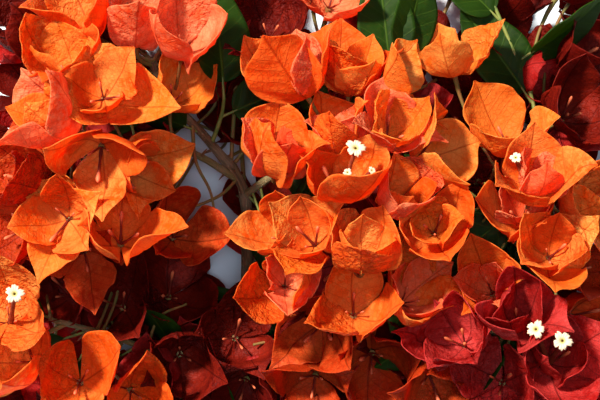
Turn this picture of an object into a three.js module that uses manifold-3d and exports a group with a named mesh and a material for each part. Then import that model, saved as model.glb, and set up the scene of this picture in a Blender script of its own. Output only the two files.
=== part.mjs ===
// A flowering branch of orange bougainvillea, cut from its bush and lying on its back, so that
// the side that faced the viewer faces up. Millimetres: +Z is up from the surface it lies on,
// and +Y is the way the stem grows. A bloom is three papery bracts round three slender florets.
import * as THREE from "three";
import Module from "manifold-3d";

const wasm = await Module();
wasm.setup();

// Sizes that the whole branch is worked out from
const CLEARANCE = 0.32; // between two nodes
const STALK_CLEARANCE = 0.4; // round a stalk
const BRACT_THICKNESS = 0.5;
const BRACT_WIDTH = 0.96; // as a share of a bract's length
const WIDEST_AT = [0.5, 0.9]; // powers of the outline, which put a bract's greatest width at a third of it
const LOBE = 0.16; // how far the two lobes by the stalk reach back, as a share of the length
const MIDDLE_ABOVE_ROOT = 0.42; // a bloom's middle above its root, as a share of the bracts' length
const BRACT_ROOT = 1; // from the axis to where a bract starts
const BRACT_SECTOR = (52 * Math.PI) / 180; // a bract keeps to this much on each side of its midrib
const COLLAR = [1.2, 1.8]; // inner and outer radius of the ring that a bloom's bracts grow from
const MIDRIB_STEPS = 24;
const BRACT_ROWS = [0.15, 0.42, 0.76];
const BACK_BRACT_ROWS = [0.2, 0.62];
const BLADE_COLUMNS = [-1, 0, 1];
const WALL_GAP = 0.5; // a bloom stops this far short of the wall between it and its neighbour
const FLOOR_GAP = 0.2; // and this far short of the surface below
const WALL_POWER = 9; // how suddenly a bract gives way at that wall
const FLORET_LENGTH = 0.52; // as a share of the bracts' length
const FLORET_FACE = 4.4; // radius of an open floret's white face
const STALK = [0.8, 1.2]; // radius where a stalk leaves its shoot, and under the bracts
const STALK_STEPS = 3;
const LEAD = 1.1; // radius of the stalk that forks to several blooms
const LEAF_THICKNESS = 0.6;
const LEAF_WIDTH = 0.6;
const LEAF_ROWS = [0.14, 0.4, 0.72];
const LEAF_ROOM = 7; // how hard a leaf holds its neighbours off, as a bloom's bract length does
const PETIOLE = [0.9, 0.7];

// The middle of the branch, seen from above, in the places below: it lies at the origin
const MIDDLE = [-0.15, 5.5];

const TINTS = {
  orange: 0xe8541a,
  amber: 0xf08a2c,
  coral: 0xe2583c,
  scarlet: 0xb92a17,
  crimson: 0x9c1a22,
};

// Woody parts: where each runs, its radius at its foot and at its tip, and its sides
const LIMBS = {
  main_stem: {
    path: [[-14, -114, 3.6], [-20, -86, 9], [-23, -50, 19], [-23, -16, 29], [-25, 6, 34], [-38, 24, 38], [-54, 42, 44], [-62, 58, 52]],
    radius: [3.7, 1.5],
    sides: 8,
  },
  left_shoot: { path: [[-27, 9, 35], [-46, 20, 44], [-62, 22, 56], [-78, 24, 64], [-94, 22, 66]], radius: [1.7, 1] },
  upper_centre_shoot: { path: [[-24, 2, 33], [-12, 10, 47], [6, 22, 60], [24, 32, 66], [36, 40, 68]], radius: [1.8, 1] },
  lower_centre_shoot: { path: [[-23, -16, 29], [-10, -15, 46], [8, -10, 60], [27, -12, 66], [42, -14, 66]], radius: [1.8, 1] },
  right_shoot: { path: [[-22, -60, 16], [10, -52, 22], [44, -34, 36], [70, -14, 50], [90, 0, 60], [104, 4, 64]], radius: [2.2, 1] },
  low_right_shoot: { path: [[44, -34, 36], [60, -46, 46], [78, -54, 56], [98, -57, 60]], radius: [1.6, 1] },
  low_left_shoot: { path: [[-20, -86, 9], [-42, -77, 18], [-66, -64, 34], [-88, -55, 48], [-104, -50, 56]], radius: [1.8, 1] },
};

// Leafy shoots: a green twig with its leaves, each leaf given by how far along the twig it grows,
// the way it points, the way its upper side faces, and the length of its blade
const LEAFY_SHOOTS = {
  right_leafy_shoot: {
    path: [[90, 0, 60], [99, 20, 48], [99, 40, 45], [90, 64, 46], [79, 90, 46]],
    leaves: [
      [0.46, [-0.55, 0.8, 0.1], [0.2, 0.1, 1], 44],
      [0.66, [0.85, 0.5, 0.1], [-0.3, 0.1, 1], 42],
      [0.84, [-0.7, 0.7, 0.1], [0.3, -0.2, 1], 36],
      [0.98, [0.3, 0.9, 0.2], [0, -0.2, 1], 34],
    ],
  },
  centre_leafy_shoot: {
    path: [[35, 40, 68], [36, 46, 62], [38, 51, 58], [41, 56, 57]],
    leaves: [
      [0.7, [-0.1, 0.95, 0.1], [0.1, -0.2, 1], 40],
      [0.98, [0.75, 0.65, 0.1], [-0.2, -0.1, 1], 42],
    ],
  },
  left_leafy_shoot: {
    path: [[-38, 24, 38], [-35, 31, 43], [-33, 37, 46], [-32, 43, 50]],
    leaves: [
      [0.6, [0.9, 0.4, -0.1], [0.1, 0.1, 1], 36],
      [0.98, [-0.05, 1, 0.15], [0.5, 0, 0.86], 44],
    ],
  },
};

// Heads: each is one bloom, or a cyme of a few on one stalk. A row gives the head's name, its shoot, how far
// along that it grows and its tint, then each bloom: its middle, the way it faces, the length of its bracts,
// how far they spread from its axis, the turn of its first bract, and how many of its florets are open.
const HEADS = [
  ["centre_bloom_01", "upper_centre_shoot", 0.7, "orange", [[-4, 55, 86], [-0.4, 0.8, 0.45], 41, 19, 20, 0]],
  ["centre_bloom_02", "upper_centre_shoot", 0.84, "orange", [[21, 58, 76], [0.1, 0.85, 0.5], 38, 13, 190, 0]],
  ["centre_bloom_03", "upper_centre_shoot", 0.97, "amber", [[46, 50, 80], [0.65, 0.55, 0.5], 38, 26, 60, 0]],
  ["centre_bloom_04", "upper_centre_shoot", 0.4, "orange", [[-9, 23, 90], [-0.25, 0.3, 0.92], 39, 16, 95, 0]],
  ["centre_bloom_05", "upper_centre_shoot", 0.58, "orange", [[16, 29, 87], [0, 0.35, 0.93], 35, 11, 0, 0]],
  ["centre_bloom_06", "upper_centre_shoot", 0.9, "amber", [[38, 28, 95], [0.2, 0.4, 0.9], 39, 29, 40, 1]],
  ["centre_bloom_07", "lower_centre_shoot", 0.9, "orange", [[60, 15, 84], [0.75, 0.15, 0.65], 38, 24, 150, 0]],
  ["centre_bloom_08", "lower_centre_shoot", 0.5, "orange", [[16, 7, 99], [0, 0.2, 0.98], 42, 37, 0, 2]],
  ["centre_bloom_09", "lower_centre_shoot", 0.82, "coral", [[42, -1, 91], [0.25, -0.05, 0.97], 38, 24, 75, 1]],
  ["centre_bloom_10", "lower_centre_shoot", 0.98, "orange", [[60, -14, 78], [0.7, -0.3, 0.65], 36, 21, 20, 0]],
  ["centre_bloom_11", "lower_centre_shoot", 0.29, "orange", [[-17, -12, 80], [-0.75, 0.1, 0.65], 40, 26, 100, 0]],
  ["centre_bloom_12", "lower_centre_shoot", 0.36, "amber", [[1, -15, 87], [-0.1, -0.3, 0.94], 36, 24, 180, 0]],
  ["centre_bloom_13", "lower_centre_shoot", 0.2, "orange", [[-7, -38, 82], [-0.35, -0.55, 0.75], 39, 19, 60, 0]],
  ["centre_bloom_14", "lower_centre_shoot", 0.64, "coral", [[24, -20, 95], [0.1, -0.15, 0.98], 36, 29, 200, 1]],
  ["centre_bloom_15", "lower_centre_shoot", 0.72, "orange", [[28, -44, 84], [0.1, -0.65, 0.75], 39, 21, 120, 0]],
  ["centre_bloom_16", "lower_centre_shoot", 0.87, "orange", [[51, -37, 76], [0.5, -0.55, 0.65], 38, 24, 10, 0]],

  ["left_bloom_01", "left_shoot", 0.72, "amber", [[-71, 45, 95], [0.1, 0.15, 0.98], 43, 39, 10, 0]],
  ["left_bloom_02", "left_shoot", 0.93, "orange", [[-97, 57, 82], [-0.3, 0.45, 0.85], 39, 21, 80, 0]],
  ["left_bloom_03", "main_stem", 0.97, "amber", [[-91, 78, 74], [-0.3, 0.65, 0.7], 41, 21, 30, 0],
    [[-117, 72, 60], [-0.5, 0.5, 0.7], 36, 21, 140, 0]],
  ["left_bloom_04", "main_stem", 0.99, "coral", [[-63, 80, 70], [0.1, 0.7, 0.7], 38, 19, 160, 0]],
  ["left_bloom_05", "left_shoot", 0.96, "coral", [[-104, 34, 92], [-0.65, 0.3, 0.7], 42, 26, 45, 2]],
  ["left_bloom_06", "left_shoot", 0.8, "orange", [[-83, 17, 92], [-0.05, -0.45, 0.88], 40, 21, 180, 0]],
  ["left_bloom_07", "left_shoot", 0.67, "amber", [[-62, 13, 80], [0.5, -0.35, 0.8], 39, 21, 60, 0]],
  ["left_bloom_08", "left_shoot", 0.99, "orange", [[-116, 12, 78], [-0.6, -0.2, 0.78], 38, 21, 110, 0]],
  ["left_bloom_09", "left_shoot", 0.86, "coral", [[-96, -5, 88], [-0.1, -0.15, 0.98], 39, 32, 170, 1]],
  ["left_bloom_10", "left_shoot", 0.6, "coral", [[-70, -10, 87], [0.2, 0, 0.97], 41, 24, 30, 2]],
  ["left_bloom_11", "left_shoot", 0.9, "orange", [[-119, -14, 72], [-0.5, -0.4, 0.77], 36, 21, 0, 0],
    [[-88, -24, 70], [0, -0.6, 0.8], 35, 19, 80, 0]],
  ["left_bloom_12", "left_shoot", 0.45, "scarlet", [[-45, -8, 60], [0.35, 0, 0.93], 36, 21, 20, 0]],
  ["left_bloom_13", "main_stem", 0.9, "coral", [[-42, 69, 82], [0.25, 0.25, 0.93], 42, 24, 130, 0]],

  ["right_bloom_01", "right_shoot", 0.93, "coral", [[98, 13, 92], [0.1, 0.35, 0.93], 42, 29, 0, 0]],
  ["right_bloom_02", "right_shoot", 0.87, "scarlet", [[79, -2, 78], [-0.6, 0.1, 0.8], 39, 24, 100, 0]],
  ["right_bloom_03", "right_shoot", 0.99, "orange", [[119, 0, 80], [0.6, 0.05, 0.8], 39, 24, 50, 0]],
  ["right_bloom_04", "right_shoot", 0.88, "orange", [[84, 30, 74], [-0.35, 0.45, 0.82], 36, 21, 30, 1]],
  ["right_bloom_05", "right_shoot", 0.81, "amber", [[101, -17, 92], [0.05, -0.25, 0.96], 39, 29, 180, 0]],
  ["right_bloom_06", "right_shoot", 0.78, "orange", [[77, -24, 82], [-0.35, -0.15, 0.92], 36, 21, 150, 0]],
  ["right_bloom_07", "right_shoot", 0.96, "scarlet", [[121, -26, 72], [0.6, -0.2, 0.77], 36, 21, 20, 0],
    [[121, -50, 70], [0.55, -0.3, 0.77], 38, 21, 80, 0]],

  ["low_right_bloom_01", "low_right_shoot", 0.45, "scarlet", [[62, -52, 82], [-0.5, -0.1, 0.85], 40, 24, 100, 0]],
  ["low_right_bloom_02", "low_right_shoot", 0.72, "scarlet", [[85, -43, 92], [-0.05, 0.25, 0.96], 41, 29, 0, 0]],
  ["low_right_bloom_03", "low_right_shoot", 0.97, "crimson", [[103, -61, 88], [0.15, -0.1, 0.98], 42, 34, 60, 2]],
  ["low_right_bloom_04", "low_right_shoot", 0.6, "crimson", [[77, -72, 78], [-0.3, -0.45, 0.84], 40, 24, 180, 0],
    [[106, -87, 70], [0.2, -0.6, 0.77], 39, 24, 120, 0]],

  ["low_left_bloom_01", "low_left_shoot", 0.93, "amber", [[-116, -37, 88], [-0.15, 0.2, 0.97], 41, 29, 0, 1],
    [[-116, -64, 76], [-0.4, -0.3, 0.86], 38, 21, 90, 0]],
  ["low_left_bloom_02", "low_left_shoot", 0.8, "orange", [[-89, -68, 80], [0.05, -0.25, 0.96], 39, 24, 60, 0],
    [[-66, -84, 66], [0.35, -0.6, 0.72], 36, 21, 10, 0]],

  ["top_back_cyme", "main_stem", 0.7, "scarlet", [[-15, 78, 44], [-0.1, 0.6, 0.79], 38, 21, 30, 0],
    [[12, 88, 60], [0.15, 0.65, 0.75], 39, 21, 100, 0], [[-44, 92, 46], [-0.2, 0.7, 0.7], 36, 21, 60, 0],
    [[-24, 92, 18], [0.1, 1, 0.1], 36, 24, 20, 0]],
  ["middle_back_cyme", "main_stem", 0.62, "crimson", [[-20, 38, 30], [0.3, 0.3, 0.9], 36, 26, 0, 0],
    [[-62, 46, 22], [-0.4, 0.4, 0.82], 36, 26, 60, 0], [[4, 58, 32], [0.4, 0.5, 0.77], 36, 26, 30, 0]],
  ["centre_back_cyme", "lower_centre_shoot", 0.42, "scarlet", [[14, 4, 46], [-0.1, 0.2, 0.97], 34, 26, 0, 0],
    [[34, 14, 44], [0.2, 0.3, 0.93], 34, 26, 40, 0], [[16, -34, 50], [0, -0.4, 0.9], 34, 26, 90, 0],
    [[46, 40, 44], [0.2, 0.5, 0.84], 34, 24, 20, 0]],
  ["left_back_cyme", "low_left_shoot", 0.55, "crimson", [[-114, -26, 18], [-0.95, 0.25, 0.1], 36, 26, 30, 0],
    [[-104, -38, 50], [-0.4, 0.2, 0.9], 36, 26, 30, 0],
    [[-78, -42, 46], [-0.1, 0.3, 0.95], 38, 29, 90, 0], [[-53, -38, 36], [0.3, 0.3, 0.9], 38, 29, 0, 0]],
  ["upper_right_back_cyme", "right_shoot", 0.74, "scarlet", [[66, 58, 56], [-0.1, 0.5, 0.86], 38, 24, 20, 0],
    [[70, 36, 32], [-0.3, 0.3, 0.9], 36, 26, 70, 0], [[116, 40, 62], [0.4, 0.4, 0.82], 38, 24, 0, 0],
    [[122, 66, 44], [0.5, 0.5, 0.7], 36, 24, 45, 0], [[92, 70, 36], [0.1, 0.6, 0.8], 36, 24, 10, 0],
    [[112, 44, 18], [0.8, 0.55, 0.1], 36, 24, 70, 0]],
  ["low_centre_back_cyme", "right_shoot", 0.25, "scarlet", [[8, -57, 62], [-0.1, -0.3, 0.95], 38, 24, 0, 0],
    [[5, -82, 56], [-0.1, -0.5, 0.86], 38, 24, 60, 0], [[32, -71, 58], [0.1, -0.4, 0.9], 39, 24, 180, 0],
    [[57, -80, 62], [0.2, -0.5, 0.83], 35, 21, 90, 0]],
  ["low_left_back_cyme", "low_left_shoot", 0.3, "scarlet", [[-23, -84, 46], [0, -0.5, 0.86], 36, 24, 20, 0],
    [[-28, -58, 48], [0, 0, 1], 36, 26, 80, 0], [[-50, -66, 52], [0.1, 0, 0.98], 38, 24, 0, 0]],
  ["right_back_cyme", "right_shoot", 0.55, "crimson", [[72, 12, 44], [-0.3, 0.3, 0.9], 36, 26, 0, 0],
    [[54, -12, 34], [-0.4, 0.1, 0.9], 35, 26, 60, 0], [[104, -30, 18], [0.9, -0.4, 0.1], 36, 24, 40, 0]],
];

// Small tools

const vector = (xyz) => new THREE.Vector3(...xyz);
const radians = THREE.MathUtils.degToRad;

// The same even numbers from 0 to 1 each time, by the Park-Miller rule
function steadyRandom(seed) {
  let state = (seed * 48271 + 11) % 2147483647;
  return () => {
    state = (state * 48271) % 2147483647;
    return state / 2147483647;
  };
}

// A closed surface that is put together from rings of points. Rings run the same way round, and one may
// have a multiple of the other's points: a ring of one point is a tip.
class Skin {
  points = [];
  faces = [];

  ring(points) {
    return points.map((point) => this.points.push(point) - 1);
  }

  bridge(lower, upper) {
    const count = Math.max(lower.length, upper.length);
    const at = (ring, i) => ring[Math.floor(((i % count) * ring.length) / count)];
    for (let i = 0; i < count; i++) {
      const [a, b, c, d] = [at(lower, i), at(lower, i + 1), at(upper, i), at(upper, i + 1)];
      if (a !== b) this.faces.push([a, b, d]);
      if (c !== d) this.faces.push([a, d, c]);
    }
  }

  // The next row of a thin blade. Its inner and outer side are split along the same diagonals, so they can't cross.
  bladeStep(below, row) {
    const last = row.outer.length - 1;
    const quad = (a, b, c, d) => this.faces.push([a, b, c], [a, c, d]);
    for (let i = 0; i < last; i++) {
      quad(below.outer[i], below.outer[i + 1], row.outer[i + 1], row.outer[i]);
      this.faces.push([below.inner[i + 1], below.inner[i], row.inner[i + 1]]);
      this.faces.push([row.inner[i + 1], below.inner[i], row.inner[i]]);
    }
    quad(below.inner[0], below.outer[0], row.outer[0], row.inner[0]);
    quad(below.outer[last], below.inner[last], row.inner[last], row.outer[last]);
  }

  // A thin blade from one row on, through rows of [inner, outer] pairs of points, to its tip
  blade(below, rows, tip) {
    for (const pairs of rows) {
      const row = { inner: this.ring(pairs.map(([inner]) => inner)), outer: this.ring(pairs.map(([, outer]) => outer)) };
      this.bladeStep(below, row);
      below = row;
    }
    this.bridge([...below.outer, ...below.inner.slice().reverse()], this.ring([tip]));
  }

  cap(ring) {
    for (let i = 1; i + 1 < ring.length; i++) this.faces.push([ring[0], ring[i], ring[i + 1]]);
  }

  // Each ring joined to the next, and both ends closed
  through(rings) {
    const indices = rings.map((ring) => this.ring(ring));
    this.cap(indices[0].slice().reverse());
    for (let i = 0; i + 1 < indices.length; i++) this.bridge(indices[i], indices[i + 1]);
    this.cap(indices.at(-1));
    return this;
  }

  solid() {
    const build = (faces) =>
      new wasm.Manifold(
        new wasm.Mesh({
          numProp: 3,
          vertProperties: new Float32Array(this.points.flatMap((p) => [p.x, p.y, p.z])),
          triVerts: new Uint32Array(faces.flat()),
        }),
      );
    const made = build(this.faces);
    return made.volume() > 0 ? made : build(this.faces.map(([a, b, c]) => [a, c, b]));
  }
}

const joined = (solids) => wasm.Manifold.union(solids);

// A round limb along a curve; extra widens it all round
function tube(curve, [first, last], sides, steps, extra = 0) {
  const { normals, binormals } = curve.computeFrenetFrames(steps, false);
  const rings = [];
  for (let k = 0; k <= steps; k++) {
    const middle = curve.getPointAt(k / steps);
    const radius = THREE.MathUtils.lerp(first, last, k / steps) + extra;
    rings.push(
      Array.from({ length: sides }, (_, i) => {
        const turn = (2 * Math.PI * i) / sides;
        return middle
          .clone()
          .addScaledVector(normals[k], radius * Math.cos(turn))
          .addScaledVector(binormals[k], radius * Math.sin(turn));
      }),
    );
  }
  return new Skin().through(rings).solid();
}

// A row across a thin blade whose middle surface is place(s, q), from s = 0 at its root to 1 at its tip, and from
// q = -1 to 1 across it: a pair of points, inner and outer, for each of its columns
function bladeRow(place, s, thickness) {
  const step = 0.01;
  return BLADE_COLUMNS.map((q) => {
    const along = place(s + step, q).sub(place(s - step, q));
    const across = place(s, q + step).sub(place(s, q - step));
    const normal = along.cross(across).normalize();
    return [1, -1].map((side) => place(s, q).addScaledVector(normal, (side * thickness) / 2));
  });
}

// Blooms

// A bloom's own axes: the way it faces, and two across it that its bracts are turned about
function axesOf(faces) {
  const axis = vector(faces).normalize();
  const up = new THREE.Vector3(0, 1, 0);
  const side = up.clone().cross(axis).normalize();
  return { axis, side, top: axis.clone().cross(side) };
}

const outlineOf = (s) => Math.max(s, 0) ** WIDEST_AT[0] * Math.max(1 - s, 0) ** WIDEST_AT[1];
const WIDEST = outlineOf(WIDEST_AT[0] / (WIDEST_AT[0] + WIDEST_AT[1]));

// The three bracts of a bloom, each a little different
function bractsOf(bloom) {
  const random = steadyRandom(bloom.number);
  const between = (low, high) => low + (high - low) * random();
  return [0, 1, 2].map((k) => {
    const turn = radians(bloom.roll + 120 * k + between(-9, 9));
    const out = bloom.top.clone().applyAxisAngle(bloom.axis, turn);
    return {
      out,
      across: bloom.axis.clone().cross(out),
      length: bloom.length * between(0.9, 1.04),
      open: radians(bloom.open + between(-7, 7)),
      belly: radians(between(54, 72)),
      curl: radians(between(-8, 34)),
      twist: radians(between(-16, 16)),
      cup: bloom.length * between(0.42, 0.62),
      fold: between(0.04, 0.16),
      wave: between(0.02, 0.045),
      phase: between(0, 6.28),
    };
  });
}

// Where a bract's midrib is at s, and how far it leans from the bloom's axis there
function midribAt(bract, s) {
  const leanAt = (x) => bract.open + bract.belly * (1 - x) ** 3 + bract.curl * x * x;
  let [out, along] = [BRACT_ROOT, 0];
  for (let i = 0; i < MIDRIB_STEPS; i++) {
    const lean = leanAt((s * (i + 0.5)) / MIDRIB_STEPS);
    out += (bract.length * s * Math.sin(lean)) / MIDRIB_STEPS;
    along += (bract.length * s * Math.cos(lean)) / MIDRIB_STEPS;
  }
  return { out, along, lean: leanAt(s) };
}

// A point of a bract's middle surface, before its neighbours press on it
function bractPoint(bloom, bract, s, q) {
  const { out, along, lean } = midribAt(bract, s);
  const inward = bloom.axis.clone().multiplyScalar(Math.sin(lean)).addScaledVector(bract.out, -Math.cos(lean));
  const onward = bloom.axis.clone().multiplyScalar(Math.cos(lean)).addScaledVector(bract.out, Math.sin(lean));
  const outline = outlineOf(s) / WIDEST;
  const width = (q * outline * bract.length * BRACT_WIDTH) / 2;
  const aside = bract.cup * Math.sin(width / bract.cup);
  const ripple = bract.wave * bract.length * Math.sin(9 * s + 2 * q + bract.phase) * q * q;
  const rise = bract.cup * (1 - Math.cos(width / bract.cup)) + bract.fold * Math.abs(width) + ripple * outline;
  const twist = bract.twist * s;
  const back = LOBE * bract.length * q * q * outline * (1 - s) ** 2;
  return bloom.root
    .clone()
    .addScaledVector(bloom.axis, along)
    .addScaledVector(bract.out, out)
    .addScaledVector(bract.across, aside * Math.cos(twist) - rise * Math.sin(twist))
    .addScaledVector(inward, rise * Math.cos(twist) + aside * Math.sin(twist))
    .addScaledVector(onward, -back);
}

// Where a point of a bract is once the bracts beside it and the blooms round it have pressed on it
function placeOnBract(bloom, bract, s, q) {
  const arm = bractPoint(bloom, bract, s, q).sub(bloom.root);
  const height = arm.dot(bloom.axis);
  const [x, y] = [arm.dot(bract.out), arm.dot(bract.across)];
  const turn = Math.atan2(y, x);
  const kept = turn * (1 + (Math.abs(turn) / BRACT_SECTOR) ** WALL_POWER) ** (-1 / WALL_POWER);
  const radius = Math.hypot(x, y);
  const point = bloom.root
    .clone()
    .addScaledVector(bloom.axis, height)
    .addScaledVector(bract.out, radius * Math.cos(kept))
    .addScaledVector(bract.across, radius * Math.sin(kept));
  return pressed(bloom, point);
}

// Neighbours share the room between them: a wall stands where each pair's sizes meet, and the surface that
// the branch lies on is a wall too. A point is drawn towards its bloom's middle as it nears a wall.
function wallsOf(bloom, neighbours) {
  const walls = neighbours
    .filter((other) => other !== bloom)
    .map((other) => {
      const way = other.middle.clone().sub(bloom.middle);
      const share = bloom.length / (bloom.length + other.length);
      return { way: way.clone().normalize(), reach: way.length() * share - WALL_GAP };
    });
  return [...walls, { way: new THREE.Vector3(0, 0, -1), reach: bloom.middle.z - FLOOR_GAP }];
}

function pressed(bloom, point) {
  const arm = point.clone().sub(bloom.middle);
  const push = bloom.walls.reduce((sum, wall) => sum + Math.max(0, arm.dot(wall.way) / wall.reach) ** WALL_POWER, 0);
  return arm.multiplyScalar((1 + push) ** (-1 / WALL_POWER)).add(bloom.middle);
}

// The ways along a curve, and across it, at even steps; the last has the given way across
function framesAlong(curve, steps, lastAcross) {
  const frames = [];
  let across = lastAcross.clone();
  for (let i = steps; i >= 0; i--) {
    const tangent = curve.getTangentAt(i / steps);
    if (frames.length) across.applyQuaternion(new THREE.Quaternion().setFromUnitVectors(frames[0].tangent, tangent));
    across = across.clone().addScaledVector(tangent, -across.dot(tangent)).normalize();
    frames.unshift({ point: curve.getPointAt(i / steps), tangent, across });
  }
  return frames;
}

function ringAt({ point, tangent, across }, radius, sides) {
  const beside = tangent.clone().cross(across);
  return Array.from({ length: sides }, (_, i) => {
    const turn = (2 * Math.PI * i) / sides;
    return point
      .clone()
      .addScaledVector(across, radius * Math.cos(turn))
      .addScaledVector(beside, radius * Math.sin(turn));
  });
}

// An open floret stands inside the first bract: a slender tube, which flares to a white face
function floretRings(bloom, bract) {
  const { lean } = midribAt(bract, 0.12);
  const tilt = 0.45 * lean;
  const way = bloom.axis.clone().multiplyScalar(Math.cos(tilt)).addScaledVector(bract.out, Math.sin(tilt));
  const length = FLORET_LENGTH * bloom.length;
  const across = bract.across.clone().cross(way);
  const ring = (height, radius, sides) => {
    const point = bloom.root.clone().addScaledVector(bloom.axis, 1).addScaledVector(way, height);
    return ringAt({ point, tangent: way, across }, radius, sides).map((p) => pressed(bloom, p));
  };
  return [ring(1, 0.8, 3), ring(length, 1, 3), ring(length + 1, FLORET_FACE, 6), ring(length + 1.6, FLORET_FACE, 6)];
}

// A bloom on its stalk is one closed skin. The stalk widens to a collar, which has an outer and an inner ring
// of six points: each bract grows from three of them, an edge, its midrib and its other edge.
function bloomSolid(bloom, stalk) {
  const skin = new Skin();
  const bracts = bractsOf(bloom);
  const frames = framesAlong(stalk, STALK_STEPS, bracts[0].out);
  const stalkRings = frames.map((frame, i) => skin.ring(ringAt(frame, THREE.MathUtils.lerp(...STALK, i / STALK_STEPS), 3)));
  skin.cap(stalkRings[0].slice().reverse());
  for (let i = 0; i < STALK_STEPS; i++) skin.bridge(stalkRings[i], stalkRings[i + 1]);
  const collarRing = (radius, height) => {
    const point = bloom.root.clone().addScaledVector(bloom.axis, height);
    const turned = bracts[0].out.clone().applyAxisAngle(bloom.axis, -Math.PI / 3);
    return skin.ring(ringAt({ point, tangent: bloom.axis, across: turned }, radius, 6));
  };
  const outer = collarRing(COLLAR[1], 0);
  const inner = collarRing(COLLAR[0], 1);
  skin.bridge(stalkRings.at(-1), [...outer.slice(1), outer[0]]);
  let throat = inner;
  if (bloom.openFlorets) {
    for (const ring of floretRings(bloom, bracts[0]).map((points) => skin.ring(points))) {
      skin.bridge(throat, ring);
      throat = ring;
    }
    skin.cap(throat);
  } else {
    skin.bridge(throat, skin.ring([bloom.root.clone().addScaledVector(bloom.axis, 1)]));
  }
  const rows = bloom.isSingle ? BRACT_ROWS : BACK_BRACT_ROWS;
  bracts.forEach((bract, k) => {
    const three = [0, 1, 2].map((i) => (2 * k + i) % 6);
    const collar = { inner: three.map((i) => inner[i]), outer: three.map((i) => outer[i]) };
    const place = (s, q) => placeOnBract(bloom, bract, s, q);
    skin.blade(collar, rows.map((s) => bladeRow(place, s, BRACT_THICKNESS)), place(1, 0));
  });
  return skin.solid();
}

// Leaves

function leafPoint(leaf, s, q) {
  const outline = outlineOf(s) / WIDEST;
  const width = (q * outline * leaf.length * LEAF_WIDTH) / 2;
  const droop = 0.16 * leaf.length * s * s;
  return leaf.root
    .clone()
    .addScaledVector(leaf.way, s * leaf.length)
    .addScaledVector(leaf.across, width)
    .addScaledVector(leaf.upper, 0.22 * Math.abs(width) - droop);
}

function leafSolid(leaf, extra = 0) {
  const place = (s, q) => leafPoint(leaf, s, q * (1 + extra / 8));
  const [first, ...others] = LEAF_ROWS.map((s) => bladeRow(place, s, LEAF_THICKNESS + 2 * extra));
  const skin = new Skin();
  const row = { inner: skin.ring(first.map(([inner]) => inner)), outer: skin.ring(first.map(([, outer]) => outer)) };
  skin.bridge(skin.ring([place(0, 0)]), [...row.outer, ...row.inner.slice().reverse()]);
  skin.blade(row, others, place(1, 0));
  const petiole = new THREE.QuadraticBezierCurve3(leaf.node, leaf.root.clone().addScaledVector(leaf.way, -3), place(0.12, 0));
  return joined([skin.solid(), tube(petiole, PETIOLE, 4, 3, extra)]);
}

// Putting the branch together

const curves = {};
for (const [name, limb] of Object.entries({ ...LIMBS, ...LEAFY_SHOOTS })) {
  curves[name] = new THREE.CatmullRomCurve3(limb.path.map(vector));
}

const leaves = Object.entries(LEAFY_SHOOTS).flatMap(([shoot, { leaves: rows }]) =>
  rows.map(([share, way, upper, length]) => {
    const along = vector(way).normalize();
    const across = along.clone().cross(vector(upper)).normalize();
    const node = curves[shoot].getPointAt(share);
    const root = node.clone().addScaledVector(along, 0.16 * length);
    return { shoot, node, root, way: along, across, upper: across.clone().cross(along), length };
  }),
);

const heads = HEADS.map(([name, shoot, share, tint, ...rows]) => {
  const blooms = rows.map(([middle, faces, length, open, roll, openFlorets]) => {
    const axes = axesOf(faces);
    const root = vector(middle).addScaledVector(axes.axis, -MIDDLE_ABOVE_ROOT * length);
    return { ...axes, middle: vector(middle), root, length, open, roll, openFlorets, isSingle: rows.length === 1 };
  });
  return { name, shoot, tint, blooms, node: curves[shoot].getPointAt(share) };
});
const blooms = heads.flatMap((head) => head.blooms);
const leafMiddles = leaves.flatMap((leaf) =>
  [0.25, 0.5, 0.75].map((s) => ({ middle: leafPoint(leaf, s, 0), length: LEAF_ROOM })),
);
blooms.forEach((bloom, i) => {
  bloom.number = i + 1;
  bloom.walls = wallsOf(bloom, [...blooms, ...leafMiddles]);
});

// The stalk of a head: straight to its one bloom, or to a fork and on to each of its blooms
function stalksOf(head) {
  const arrive = (bloom, start) => {
    const end = bloom.root.clone().addScaledVector(bloom.axis, -1.5);
    const before = end.clone().addScaledVector(bloom.axis, -0.4 * start.distanceTo(end));
    return new THREE.QuadraticBezierCurve3(start, before, end);
  };
  if (head.blooms.length === 1) return { stalks: [arrive(head.blooms[0], head.node)] };
  const fork = new THREE.Vector3();
  head.blooms.forEach((bloom) => fork.addScaledVector(bloom.root, 1 / head.blooms.length));
  fork.lerp(head.node, 0.35);
  fork.z -= 4;
  const past = fork.clone().sub(head.node).setLength(0.8).add(fork);
  return { lead: new THREE.LineCurve3(head.node, past), stalks: head.blooms.map((bloom) => arrive(bloom, fork)) };
}

function stalkRoomOf(head) {
  const { lead, stalks } = stalksOf(head);
  const room = stalks.map((stalk) => tube(stalk, STALK, 5, STALK_STEPS, STALK_CLEARANCE));
  return lead ? joined([tube(lead, [LEAD, LEAD], 5, 1, STALK_CLEARANCE), ...room]) : room[0];
}

function headSolid(head) {
  const { lead, stalks } = stalksOf(head);
  const blooms = head.blooms.map((bloom, i) => bloomSolid(bloom, stalks[i]));
  return lead ? joined([tube(lead, [LEAD, LEAD], 4, 1), ...blooms]) : blooms[0];
}

const limbSolid = (name, extra = 0) => tube(curves[name], LIMBS[name].radius, LIMBS[name].sides ?? 5, 2 * (LIMBS[name].path.length - 1), extra);

function leafyShootSolid(name, extra = 0) {
  const twig = tube(curves[name], [1.1, 0.8], 5, 8, extra);
  return joined([twig, ...leaves.filter((leaf) => leaf.shoot === name).map((leaf) => leafSolid(leaf, extra))]);
}

// What is left of a body once the room round its neighbours is cut from it, without loose scraps
function cutClear(body, neighbours) {
  const left = body.subtract(joined(neighbours));
  return left.decompose().reduce((best, piece) => (piece.volume() > best.volume() ? piece : best));
}

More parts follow.
